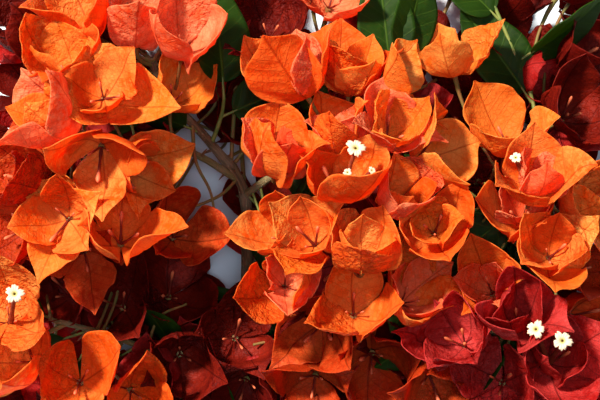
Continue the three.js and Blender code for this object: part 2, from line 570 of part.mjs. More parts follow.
const pieces = {};
const limbNames = Object.keys(LIMBS);
limbNames.forEach((name, i) => {
  const earlier = limbNames.slice(0, i).map((other) => limbSolid(other, CLEARANCE));
  pieces[name] = { body: earlier.length ? cutClear(limbSolid(name), earlier) : limbSolid(name), color: 0x6b4a2f };
});
const limbRoom = limbNames.map((name) => limbSolid(name, CLEARANCE));
const stalkRoom = heads.map(stalkRoomOf);
for (const name of Object.keys(LEAFY_SHOOTS)) {
  pieces[name] = { body: cutClear(leafyShootSolid(name), [...limbRoom, ...stalkRoom]), color: 0x3f6b24 };
}
const leafRoom = Object.keys(LEAFY_SHOOTS).map((name) => leafyShootSolid(name, CLEARANCE));
heads.forEach((head, i) => {
  const otherStalks = stalkRoom.filter((_, j) => j !== i);
  pieces[head.name] = { body: cutClear(headSolid(head), [...otherStalks, ...leafRoom, ...limbRoom]), color: TINTS[head.tint] };
});

const branch = new THREE.Group();
for (const [name, { body, color }] of Object.entries(pieces)) {
  const { vertProperties, triVerts } = body.getMesh();
  const geometry = new THREE.BufferGeometry();
  geometry.setAttribute("position", new THREE.BufferAttribute(vertProperties, 3));
  geometry.setIndex(new THREE.BufferAttribute(triVerts, 1));
  const mesh = new THREE.Mesh(geometry, new THREE.MeshStandardMaterial({ color, roughness: 0.6, metalness: 0 }));
  mesh.name = name;
  branch.add(mesh);
}
branch.position.set(-MIDDLE[0], -MIDDLE[1], 0);
export default branch;
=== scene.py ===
import math
from types import SimpleNamespace

import bpy
import numpy as np
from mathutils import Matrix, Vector, noise


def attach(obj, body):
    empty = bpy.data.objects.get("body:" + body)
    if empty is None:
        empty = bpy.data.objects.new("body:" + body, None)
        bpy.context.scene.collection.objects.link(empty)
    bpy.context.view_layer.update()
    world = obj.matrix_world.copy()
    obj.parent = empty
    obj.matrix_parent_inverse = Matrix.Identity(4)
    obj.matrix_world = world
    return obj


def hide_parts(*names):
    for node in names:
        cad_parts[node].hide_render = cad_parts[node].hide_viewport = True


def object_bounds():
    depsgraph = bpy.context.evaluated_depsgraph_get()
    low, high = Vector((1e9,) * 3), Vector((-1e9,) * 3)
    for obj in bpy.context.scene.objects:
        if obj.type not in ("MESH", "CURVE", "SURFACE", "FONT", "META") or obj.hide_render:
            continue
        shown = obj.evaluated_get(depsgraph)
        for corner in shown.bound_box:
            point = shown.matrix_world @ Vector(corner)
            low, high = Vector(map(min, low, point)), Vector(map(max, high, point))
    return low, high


# A flowering branch of orange bougainvillea, cut from its bush and lying on its back on a pale floor.
# The camera looks straight down on it. Lengths are in millimetres, as in the part's own source, until a
# mesh is made of them.

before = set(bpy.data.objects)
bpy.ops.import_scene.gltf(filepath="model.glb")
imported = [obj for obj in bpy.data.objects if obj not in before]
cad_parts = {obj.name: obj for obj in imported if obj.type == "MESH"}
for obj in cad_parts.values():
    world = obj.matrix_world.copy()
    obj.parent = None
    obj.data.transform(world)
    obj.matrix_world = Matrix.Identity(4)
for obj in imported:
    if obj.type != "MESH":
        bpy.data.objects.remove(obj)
CAD_BOX = [list(corner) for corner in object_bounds()]
MM = 0.001

# Growth rule of a bloom, as in the part's source

BRACT_WIDTH = 0.96  # as a share of a bract's length
WIDEST_AT = (0.5, 0.8)  # powers of the outline, which put a bract's greatest width at a third of it
LOBE = 0.16  # how far the two lobes by the stalk reach back, as a share of the length
MIDDLE_ABOVE_ROOT = 0.42  # a bloom's middle above its root, as a share of the bracts' length
BRACT_ROOT = 1  # from the axis to where a bract starts
BRACT_SECTOR = math.radians(60)  # a bract keeps to this much on each side of its midrib
MIDRIB_STEPS = 24
HOOK_POWER = 7  # how near its tip a bract's hook begins
HABIT_SEED = 500  # added to a bloom's number for how its tips are hooked
EDGE_SEED = 700  # and for how its bracts are frilled and crumpled, and open and twist more or less
WALL_GAP = 0.5  # a bloom stops this far short of the wall between it and its neighbour
FLOOR_GAP = 0.2
WALL_POWER = 9  # how suddenly a bract gives way at that wall
FLORET_LENGTH = 0.52  # as a share of the bracts' length
LEAF_WIDTH = 0.6  # as a share of a leaf's length
LEAF_STALK = 0.16  # from the twig to the blade, as a share of that length
LEAF_ROOM = 7  # towards a bloom, a leaf counts as small blooms with bracts of this length
MIDDLE = np.array([-0.15, 5.5, 0.0])  # the middle of the branch, which lies at the origin
BOX_FOOT, BOX_TOP = np.array(CAD_BOX) / MM + MIDDLE
CEILING = BOX_TOP[2] + 4  # the highest bracts bend over below this
ANY_TURN = (0, 6.28)  # for a turn drawn at random

# Between which numbers the bracts of a bloom differ: angles in degrees, cup and the like as shares
BRACT_HABITS = {
    "aside": (-9, 9),
    "length": (0.9, 1.04),
    "open": (-7, 7),
    "loose": (-17, 17),
    "belly": (54, 72),
    "curl": (-8, 34),
    "twist": (-16, 16),
    "cup": (0.42, 0.62),
    "fold": (0.04, 0.16),
    "wave": (0.02, 0.045),
    "hook": (-60, 75),
    "frill": (0.35, 1.1),
    "crumple": (-0.9, 1),
}

# Each limb's route from its foot, and its radius at its foot and at its tip
LIMBS = {
    "main_stem": (
        [(-14, -114, 3.6), (-20, -86, 9), (-23, -50, 19), (-23, -16, 29),
         (-25, 6, 34), (-38, 24, 38), (-54, 42, 44), (-62, 58, 52)],
        (3.7, 1.5),
    ),
    "left_shoot": ([(-27, 9, 35), (-46, 20, 44), (-62, 22, 56), (-78, 24, 64), (-94, 22, 66)], (1.7, 1)),
    "upper_centre_shoot": ([(-24, 2, 33), (-12, 10, 47), (6, 22, 60), (24, 32, 66), (36, 40, 68)], (1.8, 1)),
    "lower_centre_shoot": (
        [(-23, -16, 29), (-10, -15, 46), (8, -10, 60), (27, -12, 66), (42, -14, 66)],
        (1.8, 1),
    ),
    "right_shoot": (
        [(-22, -60, 16), (10, -52, 22), (44, -34, 36), (70, -14, 50), (90, 0, 60), (104, 4, 64)],
        (2.2, 1),
    ),
    "low_right_shoot": ([(44, -34, 36), (60, -46, 46), (78, -54, 56), (98, -57, 60)], (1.6, 1)),
    "low_left_shoot": (
        [(-20, -86, 9), (-42, -77, 18), (-66, -64, 34), (-88, -55, 48), (-104, -50, 56)],
        (1.8, 1),
    ),
}

# Green twigs, and for each leaf how far along the twig it grows, the way it points, the way its upper
# side faces and the length of its blade
LEAFY_SHOOTS = {
    "right_leafy_shoot": ([(90, 0, 60), (99, 20, 48), (99, 40, 45), (90, 64, 46), (79, 90, 46)], [
        (0.46, (-0.55, 0.8, 0.1), (0.2, 0.1, 1), 44),
        (0.66, (0.85, 0.5, 0.1), (0.45, -0.75, 0.5), 40),
        (0.84, (-0.7, 0.7, 0.1), (0.6, -0.3, 0.75), 34),
        (0.98, (0.3, 0.9, 0.2), (0.6, -0.4, 0.7), 34),
    ]),
    "centre_leafy_shoot": ([(35, 40, 68), (36, 46, 62), (38, 51, 58), (41, 56, 57)], [
        (0.7, (-0.1, 0.95, 0.1), (0.1, -0.2, 1), 40),
        (0.98, (0.3, 0.9, 0.1), (0.35, -0.5, 0.8), 36),
    ]),
    "left_leafy_shoot": ([(-38, 24, 38), (-35, 31, 43), (-33, 37, 46), (-32, 43, 50)], [
        (0.6, (0.9, 0.4, -0.1), (0.1, 0.1, 1), 36),
        (0.98, (-0.05, 1, 0.15), (0.5, 0, 0.86), 44),
    ]),
}

# Each head's name, its shoot, how far along that it grows and its tint, then for each of its blooms the
# middle, the way it faces, the length of its bracts, how far they spread and the turn of its first bract.
# A head with blooms of two tints has two rows.
HEADS = [
    ("centre_bloom_01", "upper_centre_shoot", 0.7, "orange", [
        ((-4, 55, 86), (-0.45, 0.85, 0.3), 41, 17, -20),
    ]),
    ("centre_bloom_02", "upper_centre_shoot", 0.84, "orange", [
        ((22, 57, 78), (0.15, 0.9, 0.4), 38, 10, 10),
    ]),
    ("centre_bloom_03", "upper_centre_shoot", 0.97, "amber", [
        ((46, 49, 80), (0.85, 0.4, 0.35), 38, 24, 80),
    ]),
    ("centre_bloom_04", "upper_centre_shoot", 0.4, "orange", [
        ((-7, 21, 91), (0.2, 0.65, 0.7), 40, 10, 0),
    ]),
    ("centre_bloom_05", "upper_centre_shoot", 0.58, "orange", [
        ((17, 29, 86), (0, 0.85, 0.5), 36, 9, 30),
    ]),
    ("centre_bloom_06", "upper_centre_shoot", 0.9, "coral", [
        ((37, 33, 92), (0.15, 0.65, 0.75), 38, 29, 0),
    ]),
    ("centre_bloom_07", "lower_centre_shoot", 0.9, "amber", [
        ((59, 20, 84), (0.8, 0.3, 0.5), 38, 24, 150),
    ]),
    ("centre_bloom_08", "lower_centre_shoot", 0.5, "orange", [
        ((20, 13, 97), (0.25, 0.75, 0.6), 42, 22, 300),
    ]),
    ("centre_bloom_09", "lower_centre_shoot", 0.82, "coral", [
        ((43, 3, 92), (0.45, 0.5, 0.75), 37, 20, 75),
    ]),
    ("centre_bloom_10", "lower_centre_shoot", 0.98, "orange", [
        ((52, -8, 93), (-0.15, 0.45, 0.88), 33, 24, 80),
    ]),
    ("centre_bloom_11", "lower_centre_shoot", 0.29, "orange", [
        ((-10, -12, 79), (-0.4, 0.4, 0.8), 30, 18, 100),
    ]),
    ("centre_bloom_12", "lower_centre_shoot", 0.36, "amber", [
        ((2, -13, 89), (-0.3, 0.4, 0.85), 36, 20, 180),
    ]),
    ("centre_bloom_13", "lower_centre_shoot", 0.2, "orange", [
        ((-5, -31, 82), (0.1, 0.35, 0.9), 34, 13, 0),
    ]),
    ("centre_bloom_14", "lower_centre_shoot", 0.64, "orange", [
        ((25, -16, 94), (0, 0.8, 0.6), 37, 13, 180),
    ]),
    ("centre_bloom_15", "lower_centre_shoot", 0.72, "orange", [
        ((24, -40, 82), (0.15, 0.5, 0.8), 36, 17, 120),
    ]),
    ("centre_bloom_16", "lower_centre_shoot", 0.87, "orange", [
        ((50, -38, 77), (0.55, 0.3, 0.75), 38, 22, 10),
    ]),
    ("left_bloom_01", "left_shoot", 0.72, "amber", [
        ((-79, 45, 95), (0, 0.3, 0.95), 38, 26, 15),
    ]),
    ("left_bloom_02", "left_shoot", 0.93, "orange", [
        ((-97, 60, 82), (-0.3, 0.75, 0.6), 39, 18, 80),
    ]),
    ("left_bloom_03", "main_stem", 0.97, "wine", [
        ((-117, 72, 60), (-0.5, 0.6, 0.6), 36, 19, 140),
    ]),
    ("left_bloom_03", "main_stem", 0.97, "orange", [
        ((-91, 80, 72), (-0.3, 0.75, 0.6), 41, 19, 30),
    ]),
    ("left_bloom_04", "main_stem", 0.99, "coral", [
        ((-65, 76, 74), (0.15, 0.8, 0.55), 38, 19, 160),
    ]),
    ("left_bloom_05", "left_shoot", 0.96, "coral", [
        ((-101, 37, 91), (-0.7, 0.55, 0.5), 43, 20, 45),
    ]),
    ("left_bloom_06", "left_shoot", 0.8, "orange", [
        ((-80, 12, 93), (0, -0.6, 0.8), 40, 20, 180),
    ]),
    ("left_bloom_07", "left_shoot", 0.67, "amber", [
        ((-64, 12, 80), (0.6, -0.1, 0.75), 36, 20, 60),
    ]),
    ("left_bloom_08", "left_shoot", 0.99, "scarlet", [
        ((-116, 12, 78), (-0.6, 0.3, 0.7), 38, 20, 110),
    ]),
    ("left_bloom_09", "left_shoot", 0.86, "amber", [
        ((-97, -5, 89), (-0.2, 0.2, 0.95), 39, 36, 170),
    ]),
    ("left_bloom_10", "left_shoot", 0.6, "orange", [
        ((-71, -9, 82), (0.15, 0.6, 0.75), 38, 19, 0),
    ]),
    ("left_bloom_11", "left_shoot", 0.9, "scarlet", [
        ((-119, -14, 72), (-0.5, -0.2, 0.8), 36, 21, 0),
        ((-90, -27, 69), (0, -0.4, 0.9), 35, 19, 80),
    ]),
    ("left_bloom_12", "left_shoot", 0.45, "scarlet", [
        ((-51, -11, 60), (0.2, 0.35, 0.9), 35, 20, 20),
    ]),
    ("left_bloom_13", "main_stem", 0.9, "coral", [
        ((-47, 70, 82), (0.1, 0.6, 0.8), 41, 20, 130),
    ]),
    ("right_bloom_01", "right_shoot", 0.93, "orange", [
        ((94, 11, 92), (0.1, 0.72, 0.68), 38, 17, 0),
    ]),
    ("right_bloom_02", "right_shoot", 0.87, "orange", [
        ((89, -2, 80), (-0.15, 0.5, 0.8), 36, 20, 100),
    ]),
    ("right_bloom_03", "right_shoot", 0.99, "orange", [
        ((119, 0, 80), (0.6, 0.35, 0.7), 39, 22, 50),
    ]),
    ("right_bloom_04", "right_shoot", 0.88, "amber", [
        ((84, 30, 74), (-0.2, 0.7, 0.7), 36, 21, 30),
    ]),
    ("right_bloom_05", "right_shoot", 0.81, "amber", [
        ((101, -17, 92), (0.05, 0.45, 0.87), 37, 22, 180),
    ]),
    ("right_bloom_06", "right_shoot", 0.78, "orange", [
        ((76, -34, 83), (-0.2, 0.35, 0.9), 32, 18, 150),
    ]),
    ("right_bloom_07", "right_shoot", 0.96, "scarlet", [
        ((121, -26, 72), (0.6, 0.2, 0.77), 36, 21, 20),
        ((121, -50, 70), (0.55, -0.1, 0.8), 38, 21, 80),
    ]),
    ("low_right_bloom_01", "low_right_shoot", 0.45, "crimson", [
        ((62, -52, 84), (-0.35, 0.5, 0.8), 40, 22, 100),
    ]),
    ("low_right_bloom_02", "low_right_shoot", 0.72, "crimson", [
        ((85, -43, 92), (-0.15, 0.55, 0.82), 41, 20, 0),
    ]),
    ("low_right_bloom_03", "low_right_shoot", 0.97, "crimson", [
        ((103, -61, 88), (0.1, 0.35, 0.93), 42, 30, 60),
    ]),
    ("low_right_bloom_04", "low_right_shoot", 0.6, "crimson", [
        ((79, -74, 77), (-0.3, 0.1, 0.95), 40, 24, 180),
        ((106, -87, 70), (0.2, -0.4, 0.9), 39, 24, 120),
    ]),
    ("low_left_bloom_01", "low_left_shoot", 0.93, "orange", [
        ((-119, -43, 88), (-0.1, 0.5, 0.86), 37, 22, 0),
        ((-116, -64, 76), (-0.4, 0.2, 0.9), 38, 21, 90),
    ]),
    ("low_left_bloom_02", "low_left_shoot", 0.8, "orange", [
        ((-90, -71, 78), (0.05, 0.3, 0.95), 37, 24, 60),
        ((-66, -84, 66), (0.35, -0.3, 0.9), 36, 21, 10),
    ]),
    ("top_back_cyme", "main_stem", 0.7, "coral", [
        ((14, 89, 58), (0.15, 0.65, 0.75), 33, 21, 100),
    ]),
    ("top_back_cyme", "main_stem", 0.7, "wine", [
        ((-15, 78, 44), (-0.1, 0.6, 0.79), 38, 21, 30),
        ((-44, 92, 46), (-0.2, 0.7, 0.7), 36, 21, 60),
        ((-24, 92, 18), (0.1, 1, 0.1), 36, 24, 20),
    ]),
    ("middle_back_cyme", "main_stem", 0.62, "wine", [
        ((-20, 38, 30), (0.3, 0.3, 0.9), 36, 26, 0),
        ((-62, 46, 22), (-0.4, 0.4, 0.82), 36, 26, 60),
        ((4, 58, 32), (0.4, 0.5, 0.77), 36, 26, 30),
    ]),
    ("centre_back_cyme", "lower_centre_shoot", 0.42, "crimson", [
        ((14, 4, 46), (-0.1, 0.2, 0.97), 34, 26, 0),
        ((34, 14, 44), (0.2, 0.3, 0.93), 34, 26, 40),
        ((16, -34, 50), (0, -0.4, 0.9), 34, 26, 90),
        ((46, 40, 44), (0.2, 0.5, 0.84), 34, 24, 20),
    ]),
    ("left_back_cyme", "low_left_shoot", 0.55, "wine", [
        ((-114, -26, 18), (-0.95, 0.25, 0.1), 36, 26, 30),
        ((-104, -38, 50), (-0.4, 0.2, 0.9), 36, 26, 30),
        ((-78, -42, 46), (-0.1, 0.3, 0.95), 38, 29, 90),
        ((-53, -38, 36), (0.3, 0.3, 0.9), 38, 29, 0),
    ]),
    ("upper_right_front_bloom", "right_shoot", 0.9, "amber", [
        ((61, 64, 68), (-0.2, 0.8, 0.5), 34, 14, 60),
    ]),
    ("upper_left_small_bloom", "left_shoot", 0.4, "amber", [
        ((-50, 48, 62), (0.3, 0.7, 0.65), 30, 18, 40),
    ]),
    ("upper_right_back_cyme", "right_shoot", 0.74, "wine", [
        ((70, 36, 32), (-0.3, 0.3, 0.9), 36, 26, 70),
        ((116, 40, 62), (0.4, 0.4, 0.82), 38, 24, 0),
        ((122, 66, 44), (0.5, 0.5, 0.7), 36, 24, 45),
        ((92, 70, 36), (0.1, 0.6, 0.8), 36, 24, 10),
        ((112, 44, 18), (0.8, 0.55, 0.1), 36, 24, 70),
    ]),
    ("low_centre_back_cyme", "right_shoot", 0.25, "scarlet", [
        ((8, -57, 62), (-0.1, -0.3, 0.95), 38, 24, 0),
        ((5, -82, 56), (-0.1, -0.5, 0.86), 38, 24, 60),
        ((32, -71, 58), (0.1, -0.4, 0.9), 39, 24, 180),
        ((57, -80, 62), (0.2, -0.5, 0.83), 35, 21, 90),
    ]),
    ("low_left_back_cyme", "low_left_shoot", 0.3, "wine", [
        ((-23, -84, 46), (0, -0.5, 0.86), 36, 22, 35),
        ((-28, -58, 48), (0, 0.1, 1), 36, 22, 95),
        ((-50, -66, 52), (0.1, 0, 0.98), 38, 22, 10),
    ]),
    ("right_back_cyme", "right_shoot", 0.55, "wine", [
        ((72, 12, 44), (-0.3, 0.3, 0.9), 36, 26, 0),
        ((54, -12, 34), (-0.4, 0.1, 0.9), 35, 26, 60),
        ((104, -30, 18), (0.9, -0.4, 0.1), 36, 24, 40),
    ]),
]

# Open florets: each one's bloom, where its star is, and the star's radius
STARS = [
    ("centre_bloom_08", (21.8, 20.6, 104), 4.3),
    ("centre_bloom_08", (18.6, 11.0, 104), 1.9),
    ("centre_bloom_08", (28.4, 11.8, 103), 1.7),
    ("right_bloom_01", (84.5, 17.0, 98), 2.6),
    ("low_left_bloom_01", (-110.8, -36.2, 104), 4.1),
    ("low_right_bloom_03", (91.4, -49.8, 105), 3.9),
    ("low_right_bloom_03", (102.0, -54.4, 105), 4.2),
]

# Small tools


def array(values):
    return np.array(values, float)


def unit(v):
    return v / np.linalg.norm(v, axis=-1, keepdims=True)


MULTIPLIER = 48271
MODULUS = 2147483647


def steady_random(seed):
    """The same even numbers from 0 to 1 each time, each worked out from the one before."""
    state = (seed * MULTIPLIER + 11) % MODULUS
    while True:
        state = state * MULTIPLIER % MODULUS
        yield state / MODULUS


def chooser(seed):
    """A function that gives a steady random number between two others."""
    numbers = steady_random(seed)
    return lambda low, high: low + (high - low) * next(numbers)


class Path:
    """A smooth path through points, measured along its length: the centripetal spline of the source."""

    SAMPLES = 60

    def __init__(self, points):
        points = array(points)
        before = [2 * points[0] - points[1], *points[:-2]]
        after = [*points[2:], 2 * points[-1] - points[-2]]
        pieces = [self._piece(*four) for four in zip(before, points[:-1], points[1:], after)]
        self.dots = np.concatenate([*pieces, points[-1:]])
        steps = np.linalg.norm(np.diff(self.dots, axis=0), axis=1)
        self.distances = np.concatenate([[0], np.cumsum(steps)])
        self.length = self.distances[-1]

    def _piece(self, before, start, end, after):
        pairs = ((before, start), (start, end), (end, after))
        near, along, far = (math.sqrt(np.linalg.norm(b - a)) for a, b in pairs)
        leave = (start - before) / near - (end - before) / (near + along) + (end - start) / along
        arrive = (end - start) / along - (after - start) / (along + far) + (after - end) / far
        leave, arrive = leave * along, arrive * along
        t = np.arange(self.SAMPLES)[:, None] / self.SAMPLES
        bend = -3 * start + 3 * end - 2 * leave - arrive
        return start + leave * t + bend * t**2 + (2 * start - 2 * end + leave + arrive) * t**3

    def at(self, share):
        wanted = np.asarray(share) * self.length
        return np.stack([np.interp(wanted, self.distances, self.dots[:, k]) for k in range(3)], axis=-1)


def bent_line(start, control, end, steps):
    """A line from start to end that bends towards control."""
    t = np.linspace(0, 1, steps + 1)[:, None]
    return start * (1 - t) ** 2 + 2 * control * t * (1 - t) + end * t**2


def frames_along(dots):
    """Two ways across a path at each of its dots, turned as little as can be."""
    tangents = unit(np.gradient(dots, axis=0))
    across = np.zeros_like(tangents)
    across[0] = unit(np.cross(tangents[0], (0.31, 0.17, 0.94)))
    for i in range(1, len(dots)):
        across[i] = unit(across[i - 1] - tangents[i] * (across[i - 1] @ tangents[i]))
    return tangents, across, np.cross(tangents, across)


# Meshes from arrays


class Skin:
    """Vertices and faces of a piece, put together part by part."""

    def __init__(self):
        self.vertices = []
        self.quads = []
        self.flat = []
        self.slots = []
        self.marks = {}
        self.count = 0

    def add(self, points, quads, flat=None, slot=0, **marks):
        """Points and the quads between them, with a mark for each point under each name."""
        points = points.reshape(-1, 3)
        self.vertices.append(points)
        self.quads.append(quads + self.count)
        self.flat.append(np.zeros(len(quads), bool) if flat is None else flat)
        self.slots.append(np.full(len(quads), slot))
        for name, values in marks.items():
            self.marks.setdefault(name, []).append(np.broadcast_to(values, len(points)).astype(np.float32))
        self.count += len(points)

    def mesh(self, name, origin=MIDDLE, scale=MM):
        vertices = (np.concatenate(self.vertices) - origin) * scale
        quads = np.concatenate(self.quads)
        is_quad = quads[:, 3] >= 0
        sizes = np.where(is_quad, 4, 3)
        corners = quads.ravel()[quads.ravel() >= 0]
        mesh = bpy.data.meshes.new(name)
        mesh.vertices.add(len(vertices))
        mesh.vertices.foreach_set("co", vertices.astype(np.float32).ravel())
        mesh.loops.add(len(corners))
        mesh.loops.foreach_set("vertex_index", corners.astype(np.int32))
        mesh.polygons.add(len(quads))
        mesh.polygons.foreach_set("loop_start", np.concatenate([[0], np.cumsum(sizes)[:-1]]).astype(np.int32))
        mesh.polygons.foreach_set("material_index", np.concatenate(self.slots).astype(np.int32))
        mesh.update(calc_edges=True)
        mesh.polygons.foreach_set("use_smooth", ~np.concatenate(self.flat))
        for label, values in self.marks.items():
            mark = mesh.attributes.new(label, "FLOAT", "POINT")
            mark.data.foreach_set("value", np.concatenate(values))
        if "vein_x" in self.marks:
            across, along = (np.concatenate(self.marks[k])[corners] for k in ("vein_x", "vein_y"))
            layer = mesh.uv_layers.new(name="UVMap")
            layer.data.foreach_set("uv", np.stack([across + 0.5, along], axis=-1).astype(np.float32).ravel())
        mesh.validate()
        return mesh

    def piece(self, name, *materials):
        mesh = self.mesh(name)
        for material in materials:
            mesh.materials.append(material)
        made = bpy.data.objects.new(name, mesh)
        bpy.context.scene.collection.objects.link(made)
        return made


def grid_quads(rows, columns, wrap=False):
    """The quads of a grid of points, row by row; wrap joins its last column to its first."""
    i, j = np.meshgrid(np.arange(rows - 1), np.arange(columns if wrap else columns - 1), indexing="ij")
    i, j = i.ravel(), j.ravel()
    k = (j + 1) % columns
    return np.stack([i * columns + j, i * columns + k, (i + 1) * columns + k, (i + 1) * columns + j], axis=-1)


def normals_of(points):
    return unit(np.cross(np.gradient(points, axis=0), np.gradient(points, axis=1)))


def add_blade(skin, points, thickness, slot=0, **marks):
    """A thin closed blade whose middle surface is a grid of points, from its root to its tip."""
    rows, columns = points.shape[:2]
    normals = normals_of(points)
    half = np.asarray(thickness) / 2
    both = np.stack([points + normals * half, points - normals * half])
    count = rows * columns
    front = grid_quads(rows, columns)
    back = front[:, ::-1] + count
    index = np.arange(count).reshape(rows, columns)
    loop = np.concatenate([index[0], index[1:, -1], index[-1, -2::-1], index[-2:0:-1, 0]])
    after = np.roll(loop, -1)
    rim = np.stack([loop, loop + count, after + count, after], axis=-1)
    quads = np.concatenate([front, back, rim])
    flat = np.arange(len(quads)) >= len(front) * 2
    doubled = {name: np.tile(np.broadcast_to(v, (rows, columns)).ravel(), 2) for name, v in marks.items()}
    skin.add(both, quads, flat, slot, **doubled)


def add_tube(skin, dots, rings, slot=0, **marks):
    """A tube round a path: rings holds a radius for each of its dots and sides. Both ends are closed."""
    _, across, beside = frames_along(dots)
    shape = rings.shape
    sides = shape[1]
    turn = (2 * math.pi * np.arange(sides) / sides)[None, :, None]
    outwards = across[:, None] * np.cos(turn) + beside[:, None] * np.sin(turn)
    points = dots[:, None] + rings[..., None] * outwards
    ends = np.stack([dots[0], dots[-1]])
    count = len(dots) * sides
    ring = np.arange(sides)
    after = (ring + 1) % sides
    none = np.full(sides, -1)
    foot = np.stack([after, ring, np.full(sides, count), none], axis=-1)
    last = count - sides
    tip = np.stack([ring + last, after + last, np.full(sides, count + 1), none], axis=-1)
    quads = np.concatenate([grid_quads(len(dots), sides, wrap=True), foot, tip])
    whole = {name: np.append(np.broadcast_to(values, shape), [0, 0]) for name, values in marks.items()}
    skin.add(np.concatenate([points.reshape(-1, 3), ends]), quads, slot=slot, **whole)


# Blooms, leaves and the walls between them


def outline_of(s):
    return s ** WIDEST_AT[0] * (1 - s) ** WIDEST_AT[1]


WIDEST = outline_of(WIDEST_AT[0] / sum(WIDEST_AT))
TIP_POINT = 0.62  # how much a bract's outline is drawn in at its tip
TIP_SHARE = 0.16


def bract_outline(s):
    """Half a bract's width at s, as a share of its greatest."""
    return outline_of(s) / WIDEST * (1 - TIP_POINT * np.exp(-(((1 - s) / TIP_SHARE) ** 2)))


def bloom_of(row):
    middle, faces, length, spread, roll = row
    axis = unit(array(faces))
    side = unit(np.cross((0, 1, 0), axis))
    middle = array(middle)
    return SimpleNamespace(
        middle=middle, root=middle - MIDDLE_ABOVE_ROOT * length * axis, axis=axis, side=side,
        top=np.cross(axis, side), length=length, spread=spread, roll=roll,
    )


def bracts_of(bloom):
    """The three bracts of a bloom, each a little different."""
    between = chooser(bloom.number)
    habit = chooser(HABIT_SEED + bloom.number)
    edging = chooser(EDGE_SEED + bloom.number)
    ranges = BRACT_HABITS
    bracts = []
    for k in range(3):
        turn = math.radians(bloom.roll + 120 * k + between(*ranges["aside"]))
        out = bloom.top * math.cos(turn) - bloom.side * math.sin(turn)
        bracts.append(SimpleNamespace(
            out=out,
            across=np.cross(bloom.axis, out),
            length=bloom.length * between(*ranges["length"]),
            open=math.radians(bloom.spread + between(*ranges["open"]) + edging(*ranges["loose"])),
            belly=math.radians(between(*ranges["belly"])),
            curl=math.radians(between(*ranges["curl"])),
            twist=math.radians(between(*ranges["twist"]) + edging(*ranges["twist"])),
            cup=bloom.length * between(*ranges["cup"]),
            fold=between(*ranges["fold"]),
            wave=between(*ranges["wave"]),
            phase=between(*ANY_TURN),
            hook=math.radians(habit(*ranges["hook"])),
            frill=edging(*ranges["frill"]),
            crumple=max(0, edging(*ranges["crumple"])),
        ))
    return bracts


def midrib_at(bract, s):
    """How far out and along the bloom's axis a bract's midrib is at s, and how far it leans there."""
    def lean_at(x):
        return bract.open + bract.belly * (1 - x) ** 3 + bract.curl * x * x + bract.hook * x**HOOK_POWER

    steps = (np.arange(MIDRIB_STEPS) + 0.5) / MIDRIB_STEPS
    lean = lean_at(np.asarray(s, float)[..., None] * steps)
    out = BRACT_ROOT + bract.length * s * np.sin(lean).mean(-1)
    along = bract.length * s * np.cos(lean).mean(-1)
    return out, along, lean_at(s)


FOLD_ROUNDING = 0.7  # how softly a bract is folded along its midrib
VEIN_PAIRS = 6.5
VEIN_SLOPE = 0.62  # how far towards the tip a side vein runs, for its reach to the side
VEIN_BOW = 0.85  # the power of that reach, which bows the vein
VEIN_SHIFT = 0.04  # how far the veins of the two sides stand apart along the midrib
VEIN_RELIEF = 0.22  # height of the quilting between the veins
MIDRIB_WIDTH = 0.018
MIDRIB_DEPTH = 1.6
QUILT_START = 0.08  # the quilting has its full height from here outwards
CRINKLE = 0.4  # height of the broad waves in a bract
FINE_CRINKLE = 0.15
CRUMPLE = 0.5  # height of the creases in a crumpled bract


def vein_height(x, s):
    """Height of the quilting between a blade's side veins, from -1 in a vein to 1 between two."""
    reach = np.abs(x)
    way = VEIN_PAIRS * (s - VEIN_SLOPE * reach**VEIN_BOW + VEIN_SHIFT * np.sign(x))
    midrib = np.exp(-((x / MIDRIB_WIDTH) ** 2))
    return -np.cos(2 * math.pi * way) * np.minimum(1, reach / QUILT_START) - MIDRIB_DEPTH * midrib


def bract_side(s, q):
    """How far a bract's dot lies from its midrib, as a share of the bract's length."""
    return q * bract_outline(s) * BRACT_WIDTH / 2


def paper_waves(bract, x, s):
    """The broad waves, fine waves and creases of a bract, which run across each other."""
    phase = bract.phase
    broad = np.sin(14 * x + 3 * phase) * np.sin(11 * s + 2 * phase)
    fine = np.sin(44 * s + 15 * x + phase) * np.sin(37 * x - 19 * s + 2 * phase)
    creases = np.abs(np.sin(19 * s + 8 * x + 2 * phase)) - np.abs(np.sin(16 * x - 13 * s + phase))
    small = FINE_CRINKLE * fine + CRUMPLE * bract.crumple * creases
    return CRINKLE * broad + small * np.minimum(1, 6 * (1 - s))


def frilled_edge(bract, s, q):
    """The small waves along a bract's edge."""
    fine = np.sin(26 * s + 5 * bract.phase + 2 * q) * q**4
    broad = 0.6 * np.sin(17 * s + 5 * q) * q * q
    return bract.frill * (fine + broad)


def bract_surface(bloom, bract, s, q):
    """The middle surface of a bract, before its neighbours press on it."""
    out, along, lean = midrib_at(bract, s)
    inward = bloom.axis * np.sin(lean)[..., None] - bract.out * np.cos(lean)[..., None]
    onward = bloom.axis * np.cos(lean)[..., None] + bract.out * np.sin(lean)[..., None]
    outline = bract_outline(s)
    x = bract_side(s, q)
    width = x * bract.length
    aside = bract.cup * np.sin(width / bract.cup)
    cupped = bract.cup * (1 - np.cos(width / bract.cup))
    fold = bract.fold * (np.hypot(width, FOLD_ROUNDING) - FOLD_ROUNDING)
    ripple = bract.wave * bract.length * np.sin(9 * s + 2 * q + bract.phase) * q * q
    veined = VEIN_RELIEF * vein_height(x, s) * (1 - q**6)
    rise = cupped + fold + veined + (ripple + frilled_edge(bract, s, q)) * outline + paper_waves(bract, x, s)
    twist = bract.twist * s
    back = LOBE * bract.length * q * q * outline * (1 - s) ** 2
    return (
        bloom.root
        + bloom.axis * along[..., None]
        + bract.out * out[..., None]
        + bract.across * (aside * np.cos(twist) - rise * np.sin(twist))[..., None]
        + inward * (rise * np.cos(twist) + aside * np.sin(twist))[..., None]
        - onward * back[..., None]
    )


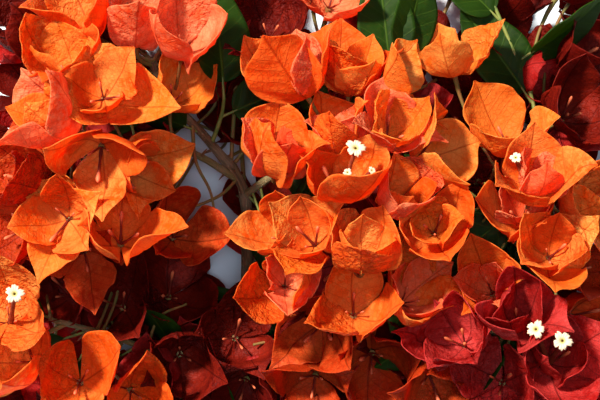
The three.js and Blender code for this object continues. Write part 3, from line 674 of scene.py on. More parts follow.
OVERLAP_LIFT = 1.1  # a bract's left edge lies this far inside its neighbour's right edge
LIFT_REACH = 8  # from this far off the axis outwards


def within_sector(bloom, bract, points):
    """The points once the bracts beside this one have kept it to its share of the bloom."""
    arm = points - bloom.root
    height, x, y = (arm @ way for way in (bloom.axis, bract.out, bract.across))
    turn = np.arctan2(y, x)
    kept = turn * (1 + (np.abs(turn) / BRACT_SECTOR) ** WALL_POWER) ** (-1 / WALL_POWER)
    radius = np.hypot(x, y)
    lift = OVERLAP_LIFT * np.clip(kept / BRACT_SECTOR, -1, 1) ** 3 * np.minimum(1, radius / LIFT_REACH)
    radius = radius - lift
    return (
        bloom.root
        + height[..., None] * bloom.axis
        + (radius * np.cos(kept))[..., None] * bract.out
        + (radius * np.sin(kept))[..., None] * bract.across
    )


def walls_of(bloom, neighbours):
    """The ways and reaches of the walls between a bloom and its neighbours, the floor and the ceiling."""
    others = [other for other in neighbours if other is not bloom]
    ways = array([other.middle - bloom.middle for other in others])
    distances = np.linalg.norm(ways, axis=1)
    share = bloom.length / (bloom.length + array([other.length for other in others]))
    ways = np.concatenate([ways / distances[:, None], [(0, 0, -1), (0, 0, 1)]])
    height = bloom.middle[2]
    return ways, np.concatenate([distances * share - WALL_GAP, [height - FLOOR_GAP, CEILING - height]])


def pressed(bloom, points, freedom=0.0):
    """The points drawn towards the bloom's middle as they near its walls, less so where they have freedom."""
    arm = points - bloom.middle
    ways, reaches = bloom.walls
    push = (np.maximum(0, arm @ ways.T / reaches) ** WALL_POWER).sum(-1)
    kept = (1 + push) ** (-1 / WALL_POWER)
    points = bloom.middle + arm * (kept + (1 - kept) * freedom)[..., None]
    points[..., 2] = np.maximum(points[..., 2], FLOOR_GAP)
    return points


LEAF_FOLD = 0.22  # how steeply a leaf rises from its midrib to its sides
LEAF_ARCH = 0.16  # how far its tip bends down, as a share of its length
LEAF_RELIEF = 0.24  # height of the quilting on a leaf of the usual length
LEAF_RIPPLE = 0.35  # height of the waves along its edge
USUAL_LEAF = 40


def leaf_of(path, share, way, upper, length):
    along = unit(array(way))
    across = unit(np.cross(along, upper))
    node = path.at(share)
    return SimpleNamespace(
        node=node, root=node + LEAF_STALK * length * along, way=along, across=across,
        upper=np.cross(across, along), length=length,
    )


def leaf_side(s, q):
    """How far a leaf's dot lies from its midrib, as a share of the leaf's length."""
    return q * outline_of(s) / WIDEST * LEAF_WIDTH / 2


def leaf_surface(leaf, s, q):
    x = leaf_side(s, q)
    width = x * leaf.length
    ripple = LEAF_RIPPLE * np.sin(17 * s + leaf.length) * q**3 * outline_of(s) / WIDEST
    relief = LEAF_RELIEF * vein_height(x, s) * (1 - q**6) + ripple
    height = LEAF_FOLD * np.hypot(width, 0.8) - LEAF_ARCH * leaf.length * s * s
    height = height + relief * leaf.length / USUAL_LEAF
    return (
        leaf.root
        + leaf.way * (s * leaf.length)[..., None]
        + leaf.across * width[..., None]
        + leaf.upper * height[..., None]
    )


paths = {name: Path(points) for name, (points, _) in (LIMBS | LEAFY_SHOOTS).items()}
leaves = {
    shoot: [leaf_of(paths[shoot], *row) for row in rows]
    for shoot, (_, rows) in LEAFY_SHOOTS.items()
}
heads = [
    SimpleNamespace(name=name, tint=tint, node=paths[shoot].at(share), blooms=[bloom_of(row) for row in rows])
    for name, shoot, share, tint, rows in HEADS
]
blooms = [bloom for head in heads for bloom in head.blooms]
leaf_middles = [
    SimpleNamespace(middle=leaf_surface(leaf, array(s), array(0)), length=LEAF_ROOM)
    for shoot in leaves.values() for leaf in shoot for s in (0.25, 0.5, 0.75)
]
for number, bloom in enumerate(blooms, 1):
    bloom.number = number
    bloom.walls = walls_of(bloom, blooms + leaf_middles)

# Small blooms deep in the branch, which fill it between its limbs and the blooms in front

INNER_SEED = 300
INNER_STEP = 16  # from one to the next
INNER_JITTER = (0, 10)  # and how far each stands from its place in the rows
INNER_ROOM = 16  # kept to the middles of the blooms in front
LIMB_ROOM = 7
INNER_HALF = (130, 98)
INNER_HEIGHTS = (18, 46)
INNER_LENGTHS = (25, 32)
INNER_LEAN = ((-0.4, 0.4), (-0.2, 0.6), (0.6, 1))
INNER_SPLAY = 250  # a bloom this far out would face outwards as much as up
INNER_SPREADS = (16, 30)
INNER_SKY_ROOM = 9
CAMERA_HEIGHT = 751.7
BLOOM_PLANE = 85  # the height at which the photo's 600 by 400 pixels are 240 by 160 mm

# Where the photo shows sky through the branch, and how far round
SKY_GAPS = [((-37, 10), 17), ((-23, -26), 7), ((102, 68), 7), ((68, 70), 6), ((-6, 78), 6)]


def is_open_sky(point, margin=0):
    """Whether the camera sees the point where the photo shows sky."""
    seen = array(point)[:2] * (CAMERA_HEIGHT - BLOOM_PLANE) / (CAMERA_HEIGHT - point[2])
    return any(np.hypot(*(seen - place)) < reach + margin for place, reach in SKY_GAPS)


limb_dots = np.concatenate([paths[name].at(np.linspace(0.02, 1, 40)) for name in LIMBS])


def inner_bloom(place, between, number):
    lean_x, lean_y, lean_z = (between(*lean) for lean in INNER_LEAN)
    faces = (place[0] / INNER_SPLAY + lean_x, place[1] / INNER_SPLAY + lean_y, lean_z)
    length = between(*INNER_LENGTHS)
    bloom = bloom_of((place, faces, length, between(*INNER_SPREADS), between(0, 360)))
    bloom.number = number
    return bloom


def nearest(places, place):
    return np.linalg.norm(places - place, axis=1).min()


def fence(bloom, others):
    """Gives the bloom its walls: those towards the others, and the sides of the CAD box."""
    ways, reaches = walls_of(bloom, others)
    sides = array([(1, 0, 0), (0, 1, 0), (-1, 0, 0), (0, -1, 0)])
    rooms = np.concatenate([BOX_TOP[:2] - bloom.middle[:2], bloom.middle[:2] - BOX_FOOT[:2]])
    bloom.walls = np.concatenate([ways, sides]), np.concatenate([reaches, rooms])


def inner_blooms():
    between = chooser(INNER_SEED)
    found = []
    for x in np.arange(-INNER_HALF[0], INNER_HALF[0], INNER_STEP):
        for y in np.arange(-INNER_HALF[1], INNER_HALF[1], INNER_STEP):
            place = array((x + between(*INNER_JITTER), y + between(*INNER_JITTER), between(*INNER_HEIGHTS)))
            bloom = inner_bloom(place, between, INNER_SEED + len(found))
            clear = nearest(array([other.middle for other in blooms + found]), place) > INNER_ROOM
            if clear and nearest(limb_dots, place) > LIMB_ROOM and not is_open_sky(place, INNER_SKY_ROOM):
                found.append(bloom)
    for bloom in found:
        fence(bloom, blooms + found + leaf_middles)
        bloom.node = limb_dots[np.linalg.norm(limb_dots - bloom.root, axis=1).argmin()]
    return found


inside = inner_blooms()

# Materials


class Finish:
    """A material whose nodes are added one at a time."""

    def __init__(self, name):
        self.material = bpy.data.materials.new(name)
        self.material.use_nodes = True
        self.tree = self.material.node_tree
        self.tree.nodes.clear()

    def node(self, kind, inputs=None, **settings):
        node = self.tree.nodes.new(kind)
        for name, value in settings.items():
            setattr(node, name, value)
        for socket, value in (inputs or {}).items():
            self.put(node.inputs[socket], value)
        return node

    def put(self, socket, value):
        if isinstance(value, bpy.types.NodeSocket):
            self.tree.links.new(value, socket)
        else:
            socket.default_value = value

    def math(self, operation, *values):
        node = self.node("ShaderNodeMath", operation=operation)
        for socket, value in zip(node.inputs, values):
            self.put(socket, value)
        return node.outputs[0]

    def times(self, first, second):
        return self.math("MULTIPLY", first, second)

    def plus(self, first, second):
        return self.math("ADD", first, second)

    def less(self, first, second):
        return self.math("SUBTRACT", first, second)

    def most(self, first, second):
        return self.math("MAXIMUM", first, second)

    def mark(self, name):
        return self.node("ShaderNodeAttribute", attribute_name=name).outputs["Fac"]

    def between(self, value, low, high, start=0.0, end=1.0):
        """Value, carried smoothly from low and high to start and end."""
        node = self.node("ShaderNodeMapRange", interpolation_type="SMOOTHSTEP", inputs={
            "Value": value, "From Min": low, "From Max": high, "To Min": start, "To Max": end,
        })
        return node.outputs["Result"]

    def blend(self, factor, first, second):
        node = self.node("ShaderNodeMix", data_type="RGBA")
        for socket, value in ((node.inputs[0], factor), (node.inputs[6], first), (node.inputs[7], second)):
            self.put(socket, value)
        return node.outputs[2]

    def noise(self, scale, detail=3, vector=None, roughness=0.5):
        vector = vector or self.node("ShaderNodeTexCoord").outputs["Object"]
        node = self.node("ShaderNodeTexNoise", inputs={
            "Vector": vector, "Scale": scale, "Detail": detail, "Roughness": roughness,
        })
        return node.outputs["Fac"]

    def bump(self, height, strength, distance):
        inputs = {"Height": height, "Strength": strength, "Distance": distance}
        return self.node("ShaderNodeBump", inputs=inputs).outputs["Normal"]

    def skin(self, own, roughness, **more):
        """An opaque surface of its own colour; more gives its sockets Normal and Specular_IOR_Level."""
        inputs = {"Base Color": own, "Roughness": roughness}
        inputs |= {socket.replace("_", " "): value for socket, value in more.items()}
        return self.node("ShaderNodeBsdfPrincipled", inputs=inputs).outputs[0]

    def lit_through(self, skin, through, share, **more):
        """The skin, with a share of light that comes through it in another colour."""
        light = self.node("ShaderNodeBsdfTranslucent", inputs={"Color": through, **more}).outputs[0]
        return self.node("ShaderNodeMixShader", inputs={0: share, 1: skin, 2: light}).outputs[0]

    def finish(self, shader):
        output = self.node("ShaderNodeOutputMaterial")
        self.tree.links.new(shader, output.inputs["Surface"])
        return self.material


def colour(red, green, blue):
    """A screen colour from 0 to 255 as the linear colour that a shader takes."""
    values = [c / 255 for c in (red, green, blue)]
    return (*[c / 12.92 if c <= 0.04045 else ((c + 0.055) / 1.055) ** 2.4 for c in values], 1)


def veins(finish):
    """A blade's midrib, its side veins and the fine net between them, from its own map."""
    x = finish.mark("vein_x")
    y = finish.mark("vein_y")
    reach = finish.math("ABSOLUTE", x)
    bowed = finish.times(finish.math("POWER", reach, VEIN_BOW), VEIN_SLOPE)
    shifted = finish.times(finish.math("SIGN", x), VEIN_SHIFT)
    way = finish.times(finish.plus(finish.less(y, bowed), shifted), VEIN_PAIRS)
    wobble = finish.times(finish.less(finish.noise(90, 2), 0.5), 0.5)
    distance = finish.math("PINGPONG", finish.plus(way, wobble), 0.5)
    side = finish.between(distance, 0.0, 0.07, 1, 0)
    midrib = finish.between(reach, 0.004, 0.014, 1, 0)
    place = finish.node("ShaderNodeCombineXYZ", inputs={"X": x, "Y": y}).outputs[0]
    inputs = {"Vector": place, "Scale": 17.0}
    cells = finish.node("ShaderNodeTexVoronoi", feature="DISTANCE_TO_EDGE", inputs=inputs)
    net = finish.between(cells.outputs["Distance"], 0.0, 0.12, 1, 0)
    return midrib, side, net


PAPER_LIGHT = 0.56  # share of a bract's light that comes through it
PAPER_SHEEN = 0.18
EMBER = 0.22  # how much the reddest bracts of a bloom take after its veins
EMBER_TONE = 0.45  # bracts of a higher tone have none of it
MOTTLE = 0.74  # how strongly a bract's patches are faded
SPECKS = 0.8
ROOT_FADING = 0.5
NET_LINES = 0.2  # how strongly a bract's veins and folds are drawn
SIDE_LINES = 0.32
MIDRIB_LINE = 0.6
# how dark the painted shade along a crumpled bract's creases is
FOLD_SHADE = 0.3
RIM_HIGHLIGHT_START = 0.93  # where the painted highlight along a bract's rim starts, as a share of its half width
# how strongly a bract's rim is painted towards its pale colour, as a painted highlight
PAINTED_RIM_HIGHLIGHT = 0.15


def vein_lines(finish):
    midrib, side, net = veins(finish)
    lines = finish.most(finish.times(net, NET_LINES), finish.times(side, SIDE_LINES))
    return finish.most(lines, finish.times(midrib, MIDRIB_LINE))


def faded_parts(finish, tone):
    """The patches and specks of a bract that are faded, and its root; the more, the higher its tone."""
    patches = finish.between(finish.noise(70, 4, roughness=0.6), 0.35, 0.7)
    specks = finish.between(finish.noise(330, 3, roughness=0.6), 0.4, 0.66)
    mottle = finish.most(patches, finish.times(specks, SPECKS))
    root = finish.between(finish.mark("vein_y"), 0.0, 0.5, 1, 0)
    faded = finish.most(finish.times(root, ROOT_FADING), finish.times(mottle, MOTTLE))
    return finish.times(faded, finish.plus(tone, 0.35))


def fold_lines(finish):
    """The thin lines where a crumpled bract is folded: they give its bumps and the painted shade in its
    creases.
    """
    crease = finish.math("ABSOLUTE", finish.less(finish.noise(170, 3, roughness=0.6), 0.5))
    return finish.times(finish.between(crease, 0.0, 0.11, 1, 0), finish.mark("crumple"))


def paper_normal(finish, lines, folds):
    grain = finish.plus(finish.noise(240, 3), finish.times(finish.noise(700, 2), 0.35))
    height = finish.less(finish.less(grain, finish.times(lines, 0.6)), finish.times(folds, 1.3))
    return finish.bump(height, 0.65, 0.0011)


def papery(name, face, glow, pale, deep):
    """Thin coloured bract: face is its own colour, glow the light through it, pale its faded parts and the
    painted highlight along its rim, and deep its veins and the painted shade in its creases."""
    finish = Finish(name)
    tone = finish.mark("tone")
    lines = vein_lines(finish)
    faded = faded_parts(finish, tone)
    folds = fold_lines(finish)
    ember = finish.between(tone, 0.0, EMBER_TONE, EMBER, 0.0)
    own = finish.blend(ember, finish.blend(faded, face, pale), deep)
    own = finish.blend(lines, own, deep)
    # Painted highlight: a thin band along each bract's rim is blended towards the pale colour.
    own = finish.blend(finish.between(finish.mark("rim"), RIM_HIGHLIGHT_START, 1.0, 0.0, PAINTED_RIM_HIGHLIGHT), own, pale)
    # Painted shade: the creases of a crumpled bract are darkened towards the deep colour.
    own = finish.blend(finish.times(folds, FOLD_SHADE), own, deep)
    through = finish.blend(finish.times(lines, 0.8), finish.blend(faded, glow, pale), deep)
    # Painted shade along the creases in the light through the bract as well.
    through = finish.blend(finish.times(folds, 0.35), through, deep)
    normal = paper_normal(finish, lines, folds)
    skin = finish.skin(own, 0.55, Specular_IOR_Level=PAPER_SHEEN, Normal=normal)
    return finish.finish(finish.lit_through(skin, through, PAPER_LIGHT, Normal=normal))


def leafy():
    finish = Finish("leaf")
    midrib, side, net = veins(finish)
    green = finish.blend(finish.between(finish.noise(60, 3), 0.35, 0.7), colour(34, 62, 8), colour(18, 40, 6))
    lines = finish.most(finish.times(side, 0.5), midrib)
    own = finish.blend(finish.most(lines, finish.times(net, 0.12)), green, colour(64, 92, 22))
    normal = finish.bump(finish.less(finish.noise(120, 2), finish.times(lines, 0.5)), 0.4, 0.0006)
    skin = finish.skin(own, 0.6, Specular_IOR_Level=0.15, Normal=normal)
    return finish.finish(finish.lit_through(skin, colour(128, 164, 20), 0.3, Normal=normal))


def woody(name, dark, light, crack, rough):
    """Bark: long cracks and streaks along the stem, dots of cork, and grey patches."""
    finish = Finish(name)
    place = finish.node("ShaderNodeCombineXYZ", inputs={
        "X": finish.times(finish.mark("round"), 5.0), "Y": finish.times(finish.mark("along"), 0.07),
    }).outputs[0]
    streaks = finish.between(finish.noise(1.6, 4, place, 0.6), 0.36, 0.66)
    patches = finish.between(finish.noise(90, 3), 0.42, 0.62)
    cork = finish.node("ShaderNodeTexVoronoi", inputs={
        "Vector": finish.node("ShaderNodeTexCoord").outputs["Object"], "Scale": 420.0,
    })
    dots = finish.between(cork.outputs["Distance"], 0.12, 0.3, 1, 0)
    own = finish.blend(streaks, dark, light)
    own = finish.blend(finish.times(patches, 0.35), own, colour(150, 138, 112))
    own = finish.blend(finish.times(dots, 0.4), own, crack)
    normal = finish.bump(finish.plus(streaks, finish.times(dots, 0.5)), 0.8, 0.0006)
    return finish.finish(finish.skin(own, rough, Specular_IOR_Level=0.3, Normal=normal))


def cut_wood():
    """The sawn foot of the stem: pale rings round a darker pith."""
    finish = Finish("cut_wood")
    reach = finish.mark("round")
    rings = finish.math("SINE", finish.plus(finish.times(reach, 34), finish.noise(300, 2)))
    wood = finish.blend(finish.between(rings, -1, 1), colour(222, 192, 142), colour(196, 160, 108))
    own = finish.blend(finish.between(reach, 0.1, 0.2, 1, 0), wood, colour(128, 92, 58))
    return finish.finish(finish.skin(own, 0.8, Normal=finish.bump(finish.noise(900, 3), 0.4, 0.0004)))


def plain_skin(name, first, second, rough, share=0.0, glow=None, scale=260):
    """A soft plant skin of two near colours; with glow, some light comes through."""
    finish = Finish(name)
    own = finish.blend(finish.between(finish.noise(scale, 3), 0.35, 0.65), first, second)
    skin = finish.skin(own, rough, Normal=finish.bump(finish.noise(scale * 3, 2), 0.3, 0.0004))
    return finish.finish(finish.lit_through(skin, glow, share) if share else skin)


def floret_bud():
    """A closed floret, dark along its tube and peach pink at its tip."""
    finish = Finish("floret_bud")
    tube = finish.between(finish.mark("below"), 0.15, 0.45)
    own = finish.blend(tube, colour(224, 112, 70), colour(112, 28, 14))
    return finish.finish(finish.lit_through(finish.skin(own, 0.6), colour(240, 96, 40), 0.2))


def floret_face():
    """The white star of an open floret: yellow-green round its throat, which is dark."""
    finish = Finish("floret_face")
    reach = finish.mark("reach")
    own = finish.blend(finish.between(reach, 0.14, 0.42, 1, 0), colour(244, 220, 192), colour(206, 196, 110))
    own = finish.blend(finish.between(reach, 0.08, 0.17, 1, 0), own, colour(84, 70, 20))
    return finish.finish(finish.lit_through(finish.skin(own, 0.6), colour(250, 236, 190), 0.25))


# For each tint: its own colour, the light through it, its faded parts and painted rim highlight, and its
# veins and the painted shade in its creases
BRACT_COLOURS = {
    "orange": ((252, 110, 18), (255, 98, 2), (255, 180, 88), (200, 50, 2)),
    "amber": ((254, 138, 34), (255, 116, 6), (255, 200, 104), (214, 78, 6)),
    # A pinker orange: partly the bracts' own pinker colour, partly a painted pink sheen.
    "coral": ((252, 118, 58), (255, 92, 14), (255, 176, 128), (212, 58, 18)),
    # A redder, darker orange: partly the bracts' own redder colour, partly painted shade.
    "scarlet": ((200, 56, 8), (222, 54, 2), (240, 112, 50), (132, 22, 2)),
    "crimson": ((186, 24, 20), (204, 16, 6), (244, 92, 88), (92, 4, 6)),
    # Crimson darkened with painted shade, for the blooms at the back and deep in the branch; it takes
    # crimson's slot.
    "wine": ((112, 14, 8), (130, 10, 2), (168, 40, 20), (56, 3, 3)),
}
SLOTS = {tint: "bract_" + tint for tint in BRACT_COLOURS} | {"wine": "bract_crimson"}
BRACT_FINISHES = {
    tint: papery("bract_" + tint, *[colour(*shade) for shade in shades])
    for tint, shades in BRACT_COLOURS.items()
}
LEAF = leafy()
BARK = woody("bark", colour(84, 60, 40), colour(126, 96, 64), colour(168, 150, 116), 0.82)
YOUNG_BARK = woody("young_bark", colour(104, 92, 50), colour(140, 120, 70), colour(170, 156, 110), 0.7)
CUT_WOOD = cut_wood()
GREEN_TWIG = plain_skin("green_twig", colour(92, 112, 44), colour(120, 128, 58), 0.6)
STALK = plain_skin("stalk", colour(128, 84, 40), colour(112, 106, 48), 0.65)
FLORET_TUBE = plain_skin(
    "floret_tube", colour(126, 40, 22), colour(152, 66, 34), 0.6, share=0.15, glow=colour(200, 70, 30),
)
BUD = floret_bud()
FLORET_FACE = floret_face()
THORN = plain_skin("thorn", colour(86, 58, 36), colour(130, 92, 56), 0.5)

# Bracts, one piece for each head of blooms

BRACT_THICKNESS = 0.3
BRACT_GRID = (30, 21)  # rows along a bract, and columns across it
YOUNG_GRID = (24, 17)
INNER_GRID = (13, 9)
TONE_SEED = 1000  # added to a bloom's number for how faded or red each of its bracts is
INNER_TONE = 0.2
YOUNG_SHARE = 0.72  # length of a young bloom's bracts, as a share of those round it
YOUNG_SEED = 200
YOUNG_RISE = 2  # a young bloom's root above that of the bloom round it
YOUNG_CLOSED = 12  # and how many degrees less it spreads
LEAST_SPREAD = 5
YOUNG_ABOVE = 74  # blooms lower than this hold no young one
YOUNG_TINTS = {"orange": ("coral", "amber"), "amber": ("orange", "orange"), "coral": ("orange", "amber")}
OLD_BLOOMS = ("centre_bloom_08", "low_left_bloom_01")  # wide open, with no young bloom inside
TIP_START = 0.7  # from here on a bract's tip may reach past its wall
TIP_FREEDOM = 0.55


def blade_grid(rows, columns):
    """s along a blade, closer together at its two ends, and q across it."""
    steps = np.linspace(0, 1, rows)
    s = 0.002 + 0.994 * (0.5 * steps + 0.25 * (1 - np.cos(math.pi * steps)))
    q = np.linspace(-1, 1, columns)
    return np.meshgrid(s, q, indexing="ij")


def add_bract(skin, bloom, bract, tone, grid=BRACT_GRID, slot=0):
    s, q = blade_grid(*grid)
    freedom = TIP_FREEDOM * np.clip((s - TIP_START) / (1 - TIP_START), 0, 1)
    points = pressed(bloom, within_sector(bloom, bract, bract_surface(bloom, bract, s, q)), freedom)
    add_blade(
        skin, points, BRACT_THICKNESS, slot, vein_x=bract_side(s, q), vein_y=s,
        tone=tone, rim=np.abs(q), crumple=bract.crumple,
    )


def dressed(piece, slot, *nodes):
    """The piece rides on the branch and stands for the nodes; the slot is not used."""
    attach(piece, "root")
    if nodes:
        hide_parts(*nodes)
    return piece


def young_of(bloom):
    """The closed young bloom that stands inside an older one."""
    return SimpleNamespace(**{
        **vars(bloom),
        "number": YOUNG_SEED + bloom.number,
        "length": YOUNG_SHARE * bloom.length,
        "root": bloom.root + YOUNG_RISE * bloom.axis,
        "spread": max(LEAST_SPREAD, bloom.spread - YOUNG_CLOSED),
        "roll": bloom.roll + 60,
    })


def holds_young(head, bloom):
    """Most high blooms hold a young one: every fourth, and the old ones, stand open."""
    return bloom.middle[2] > YOUNG_ABOVE and bloom.number % 4 != 3 and head.name not in OLD_BLOOMS


def head_piece(head):
    """All bracts of a head: slot 0 for its own tint, slots 1 and 2 for its young blooms."""
    skin = Skin()
    for bloom in head.blooms:
        between = chooser(TONE_SEED + bloom.number)
        for bract in bracts_of(bloom):
            add_bract(skin, bloom, bract, between(0, 1))
        if holds_young(head, bloom):
            young = young_of(bloom)
            young_slot = 1 + bloom.number // 2 % 2
            for bract in bracts_of(young):
                add_bract(skin, young, bract, between(0, 1), YOUNG_GRID, young_slot)
    tints = (head.tint, *YOUNG_TINTS.get(head.tint, (head.tint, head.tint)))
    piece = skin.piece(head.name + "_" + head.tint + "_bracts", *[BRACT_FINISHES[tint] for tint in tints])
    stands_for = [head.name] if head.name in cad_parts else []
    dressed(piece, SLOTS[head.tint], *stands_for)


def inner_piece(tint, some):
    skin = Skin()
    for bloom in some:
        for bract in bracts_of(bloom):
            add_bract(skin, bloom, bract, INNER_TONE, INNER_GRID)
    dressed(skin.piece("inner_bracts_" + tint, BRACT_FINISHES[tint]), SLOTS[tint])


for head in heads:
    head_piece(head)
# The inner blooms: half in crimson, half in crimson darkened with painted shade.
inner_piece("crimson", inside[0::2])
inner_piece("wine", inside[1::2])

# Geometry node trees

GEOMETRY = "NodeSocketGeometry"


class GrowthTree:
    """A Geometry Nodes tree with named inputs, ending in Realize Instances and Set Material."""

    def __init__(self, name, **sizes):
        self.tree = bpy.data.node_groups.new(name, "GeometryNodeTree")
        self.tree.interface.new_socket("Geometry", in_out="INPUT", socket_type=GEOMETRY)
        kinds = {float: "NodeSocketFloat", int: "NodeSocketInt", object: "NodeSocketObject"}
        self.sockets = {}
        for label, value in sizes.items():
            kind = object if value is None else type(value)
            socket = self.tree.interface.new_socket(label, in_out="INPUT", socket_type=kinds[kind])
            if value is not None:
                socket.default_value = value
            self.sockets[label] = socket.identifier
        self.tree.interface.new_socket("Geometry", in_out="OUTPUT", socket_type=GEOMETRY)
        self.start = self.tree.nodes.new("NodeGroupInput")

    def node(self, kind, inputs=None, **settings):
        node = self.tree.nodes.new(kind)
        for name, value in settings.items():
            setattr(node, name, value)
        for socket, value in (inputs or {}).items():
            if isinstance(value, bpy.types.NodeSocket):
                self.tree.links.new(value, node.inputs[socket])
            else:
                node.inputs[socket].default_value = value
        return node

    def mark(self, name, kind="FLOAT"):
        node = self.node("GeometryNodeInputNamedAttribute", {"Name": name}, data_type=kind)
        return node.outputs["Attribute"]

    def end(self, geometry, material):
        real = self.node("GeometryNodeRealizeInstances", {"Geometry": geometry})
        painted = self.node("GeometryNodeSetMaterial", {"Geometry": real.outputs[0], "Material": material})
        self.node("NodeGroupOutput", {"Geometry": painted.outputs[0]})

    def grow(self, name, source, material, **values):
        """The tree's result on a source mesh, as a plain mesh object of that name."""
        base = bpy.data.objects.new(name + "_base", source)
        bpy.context.scene.collection.objects.link(base)
        modifier = base.modifiers.new("growth", "NODES")
        modifier.node_group = self.tree
        for label, value in values.items():
            modifier[self.sockets[label]] = value
        depsgraph = bpy.context.evaluated_depsgraph_get()
        mesh = bpy.data.meshes.new_from_object(base.evaluated_get(depsgraph))
        mesh.name = name
        bpy.data.objects.remove(base)
        if not len(mesh.materials):
            mesh.materials.append(material)
        made = bpy.data.objects.new(name, mesh)
        bpy.context.scene.collection.objects.link(made)
        return made


def tube_tree(material):
    """Paths of edges, each dot with its radius, become round tubes."""
    growth = GrowthTree("tubes_on_paths", Sides=6)
    curve = growth.node("GeometryNodeMeshToCurve", {"Mesh": growth.start.outputs["Geometry"]})
    profile = growth.node("GeometryNodeCurvePrimitiveCircle", {
        "Resolution": growth.start.outputs["Sides"], "Radius": 1.0,
    })
    tube = growth.node("GeometryNodeCurveToMesh", {
        "Curve": curve.outputs[0], "Profile Curve": profile.outputs[0],
        "Scale": growth.mark("radius"), "Fill Caps": True,
    })
    growth.end(tube.outputs[0], material)
    return growth


def scatter_tree(name, material):
    """A small thing is set on each point, turned to that point's way and grown to its size."""
    growth = GrowthTree(name, Thing=None)
    thing = growth.node("GeometryNodeObjectInfo", {"Object": growth.start.outputs["Thing"]})
    way = growth.mark("way", "FLOAT_VECTOR")
    aim = growth.node("FunctionNodeAlignRotationToVector", {"Vector": way}, axis="Z")
    spin = growth.node("ShaderNodeCombineXYZ", {"Z": growth.mark("spin")})
    roll = growth.node("FunctionNodeEulerToRotation", {"Euler": spin.outputs[0]})
    turned = growth.node("FunctionNodeRotateRotation", {
        "Rotation": aim.outputs[0], "Rotate By": roll.outputs[0],
    }, rotation_space="LOCAL")
    set_out = growth.node("GeometryNodeInstanceOnPoints", {
        "Points": growth.start.outputs["Geometry"], "Instance": thing.outputs["Geometry"],
        "Rotation": turned.outputs[0], "Scale": growth.mark("size"),
    })
    growth.end(set_out.outputs[0], material)
    return growth


def path_mesh(name, lines):
    """A mesh of edges: each line is its dots and their radii."""
    dots = np.concatenate([(line - MIDDLE) * MM for line, _ in lines])
    edges = []
    start = 0
    for line, _ in lines:
        edges += [(start + i, start + i + 1) for i in range(len(line) - 1)]
        start += len(line)
    mesh = bpy.data.meshes.new(name)
    mesh.from_pydata(dots.tolist(), edges, [])
    radius = mesh.attributes.new("radius", "FLOAT", "POINT")
    radius.data.foreach_set("value", np.concatenate([radii * MM for _, radii in lines]).astype(np.float32))
    return mesh


def tubes(name, lines, material, slot, smooth=True):
    """Tubes on all the lines, as one piece."""
    made = tube_tree(material).grow(name, path_mesh(name + "_paths", lines), material)
    if smooth:
        made.data.polygons.foreach_set("use_smooth", [True] * len(made.data.polygons))
    return dressed(made, slot)


def point_mesh(name, rows):
    """A mesh of loose points: each row is a place, a way, a spin and a size."""
    places, ways, spins, sizes = zip(*rows)
    mesh = bpy.data.meshes.new(name)
    mesh.from_pydata(((array(places) - MIDDLE) * MM).tolist(), [], [])
    mesh.attributes.new("way", "FLOAT_VECTOR", "POINT").data.foreach_set("vector", array(ways).ravel())
    mesh.attributes.new("spin", "FLOAT", "POINT").data.foreach_set("value", array(spins))
    mesh.attributes.new("size", "FLOAT", "POINT").data.foreach_set("value", array(sizes))
    return mesh


def small_thing(name, skin, length=1):
    """A shape at its own origin, drawn at a length that becomes 1, for a tree to set out."""
    made = bpy.data.objects.new(name, skin.mesh(name, 0, 1 / length))
    bpy.context.scene.collection.objects.link(made)
    return made


def set_out(name, thing, rows, material, slot):
    """The small thing on each row's place, as one piece; the thing itself is then removed."""
    growth = scatter_tree(name + "_growth", material)
    made = growth.grow(name, point_mesh(name + "_points", rows), material, Thing=thing)
    bpy.data.objects.remove(thing)
    return dressed(made, slot)


# Stalks, from each shoot to its blooms

STALK_STEPS = 14
STALK_SHARES = (0, 0.08, 0.75, 0.93, 1)  # along a stalk, and its radius at each
STALK_RADII = (1.1, 0.62, 0.75, 1.15, 1.5)
STALK_INTO_BLOOM = 1.4
STALK_BEND = (1.5, 0.4)  # how far behind the bloom it bends: a length, and a share of the way to the limb
LEAD_RADIUS = 0.95  # of the stalk that a head's own stalks fork from
FORK_SHARE = 0.35  # where it forks, as a share of the way back from the blooms to the limb
FORK_SAG = 4


def arriving(bloom, start):
    """A stalk from start to the bloom's root."""
    away, share = STALK_BEND
    before = bloom.root - bloom.axis * (away + share * np.linalg.norm(start - bloom.root))
    dots = bent_line(start, before, bloom.root + bloom.axis * STALK_INTO_BLOOM, STALK_STEPS)
    return dots, np.interp(np.linspace(0, 1, STALK_STEPS + 1), STALK_SHARES, STALK_RADII)


def stalk_lines():
    lines = []
    for head in heads:
        if len(head.blooms) == 1:
            lines.append(arriving(head.blooms[0], head.node))
            continue
        fork = np.mean([bloom.root for bloom in head.blooms], axis=0)
        fork = fork + (head.node - fork) * FORK_SHARE - array((0, 0, FORK_SAG))
        lead = bent_line(head.node, (head.node + fork) / 2, fork, STALK_STEPS)
        lines.append((lead, np.full(len(lead), LEAD_RADIUS)))
        lines += [arriving(bloom, fork) for bloom in head.blooms]
    lines += [arriving(bloom, bloom.node) for bloom in inside]
    for dots, radii in lines:
        dots[:, 2] = np.maximum(dots[:, 2], radii + FLOOR_GAP)
    return lines


tubes("stalks", stalk_lines(), STALK, "stalk")

# Florets: a slender tube inside each bract, and a white star on the open ones

BUD_LENGTHS = (0.35, 0.8)  # of closed florets, as a share of an open one's
FLORET_SEED = 2000
FLORET_SCATTER = (-0.09, 0.09)
FLORET_TILT = 0.45  # how far a floret leans out, as a share of its bract's lean
STAR_TURN = 0.6  # how far a star turns up from its tube
STAR_SEAT = 0.97  # where on its tube the star sits
FLORET_RIDGE = 0.16  # how deep a floret's ridges are, as a share of its radius
TUBE_RIDGE = 0.12

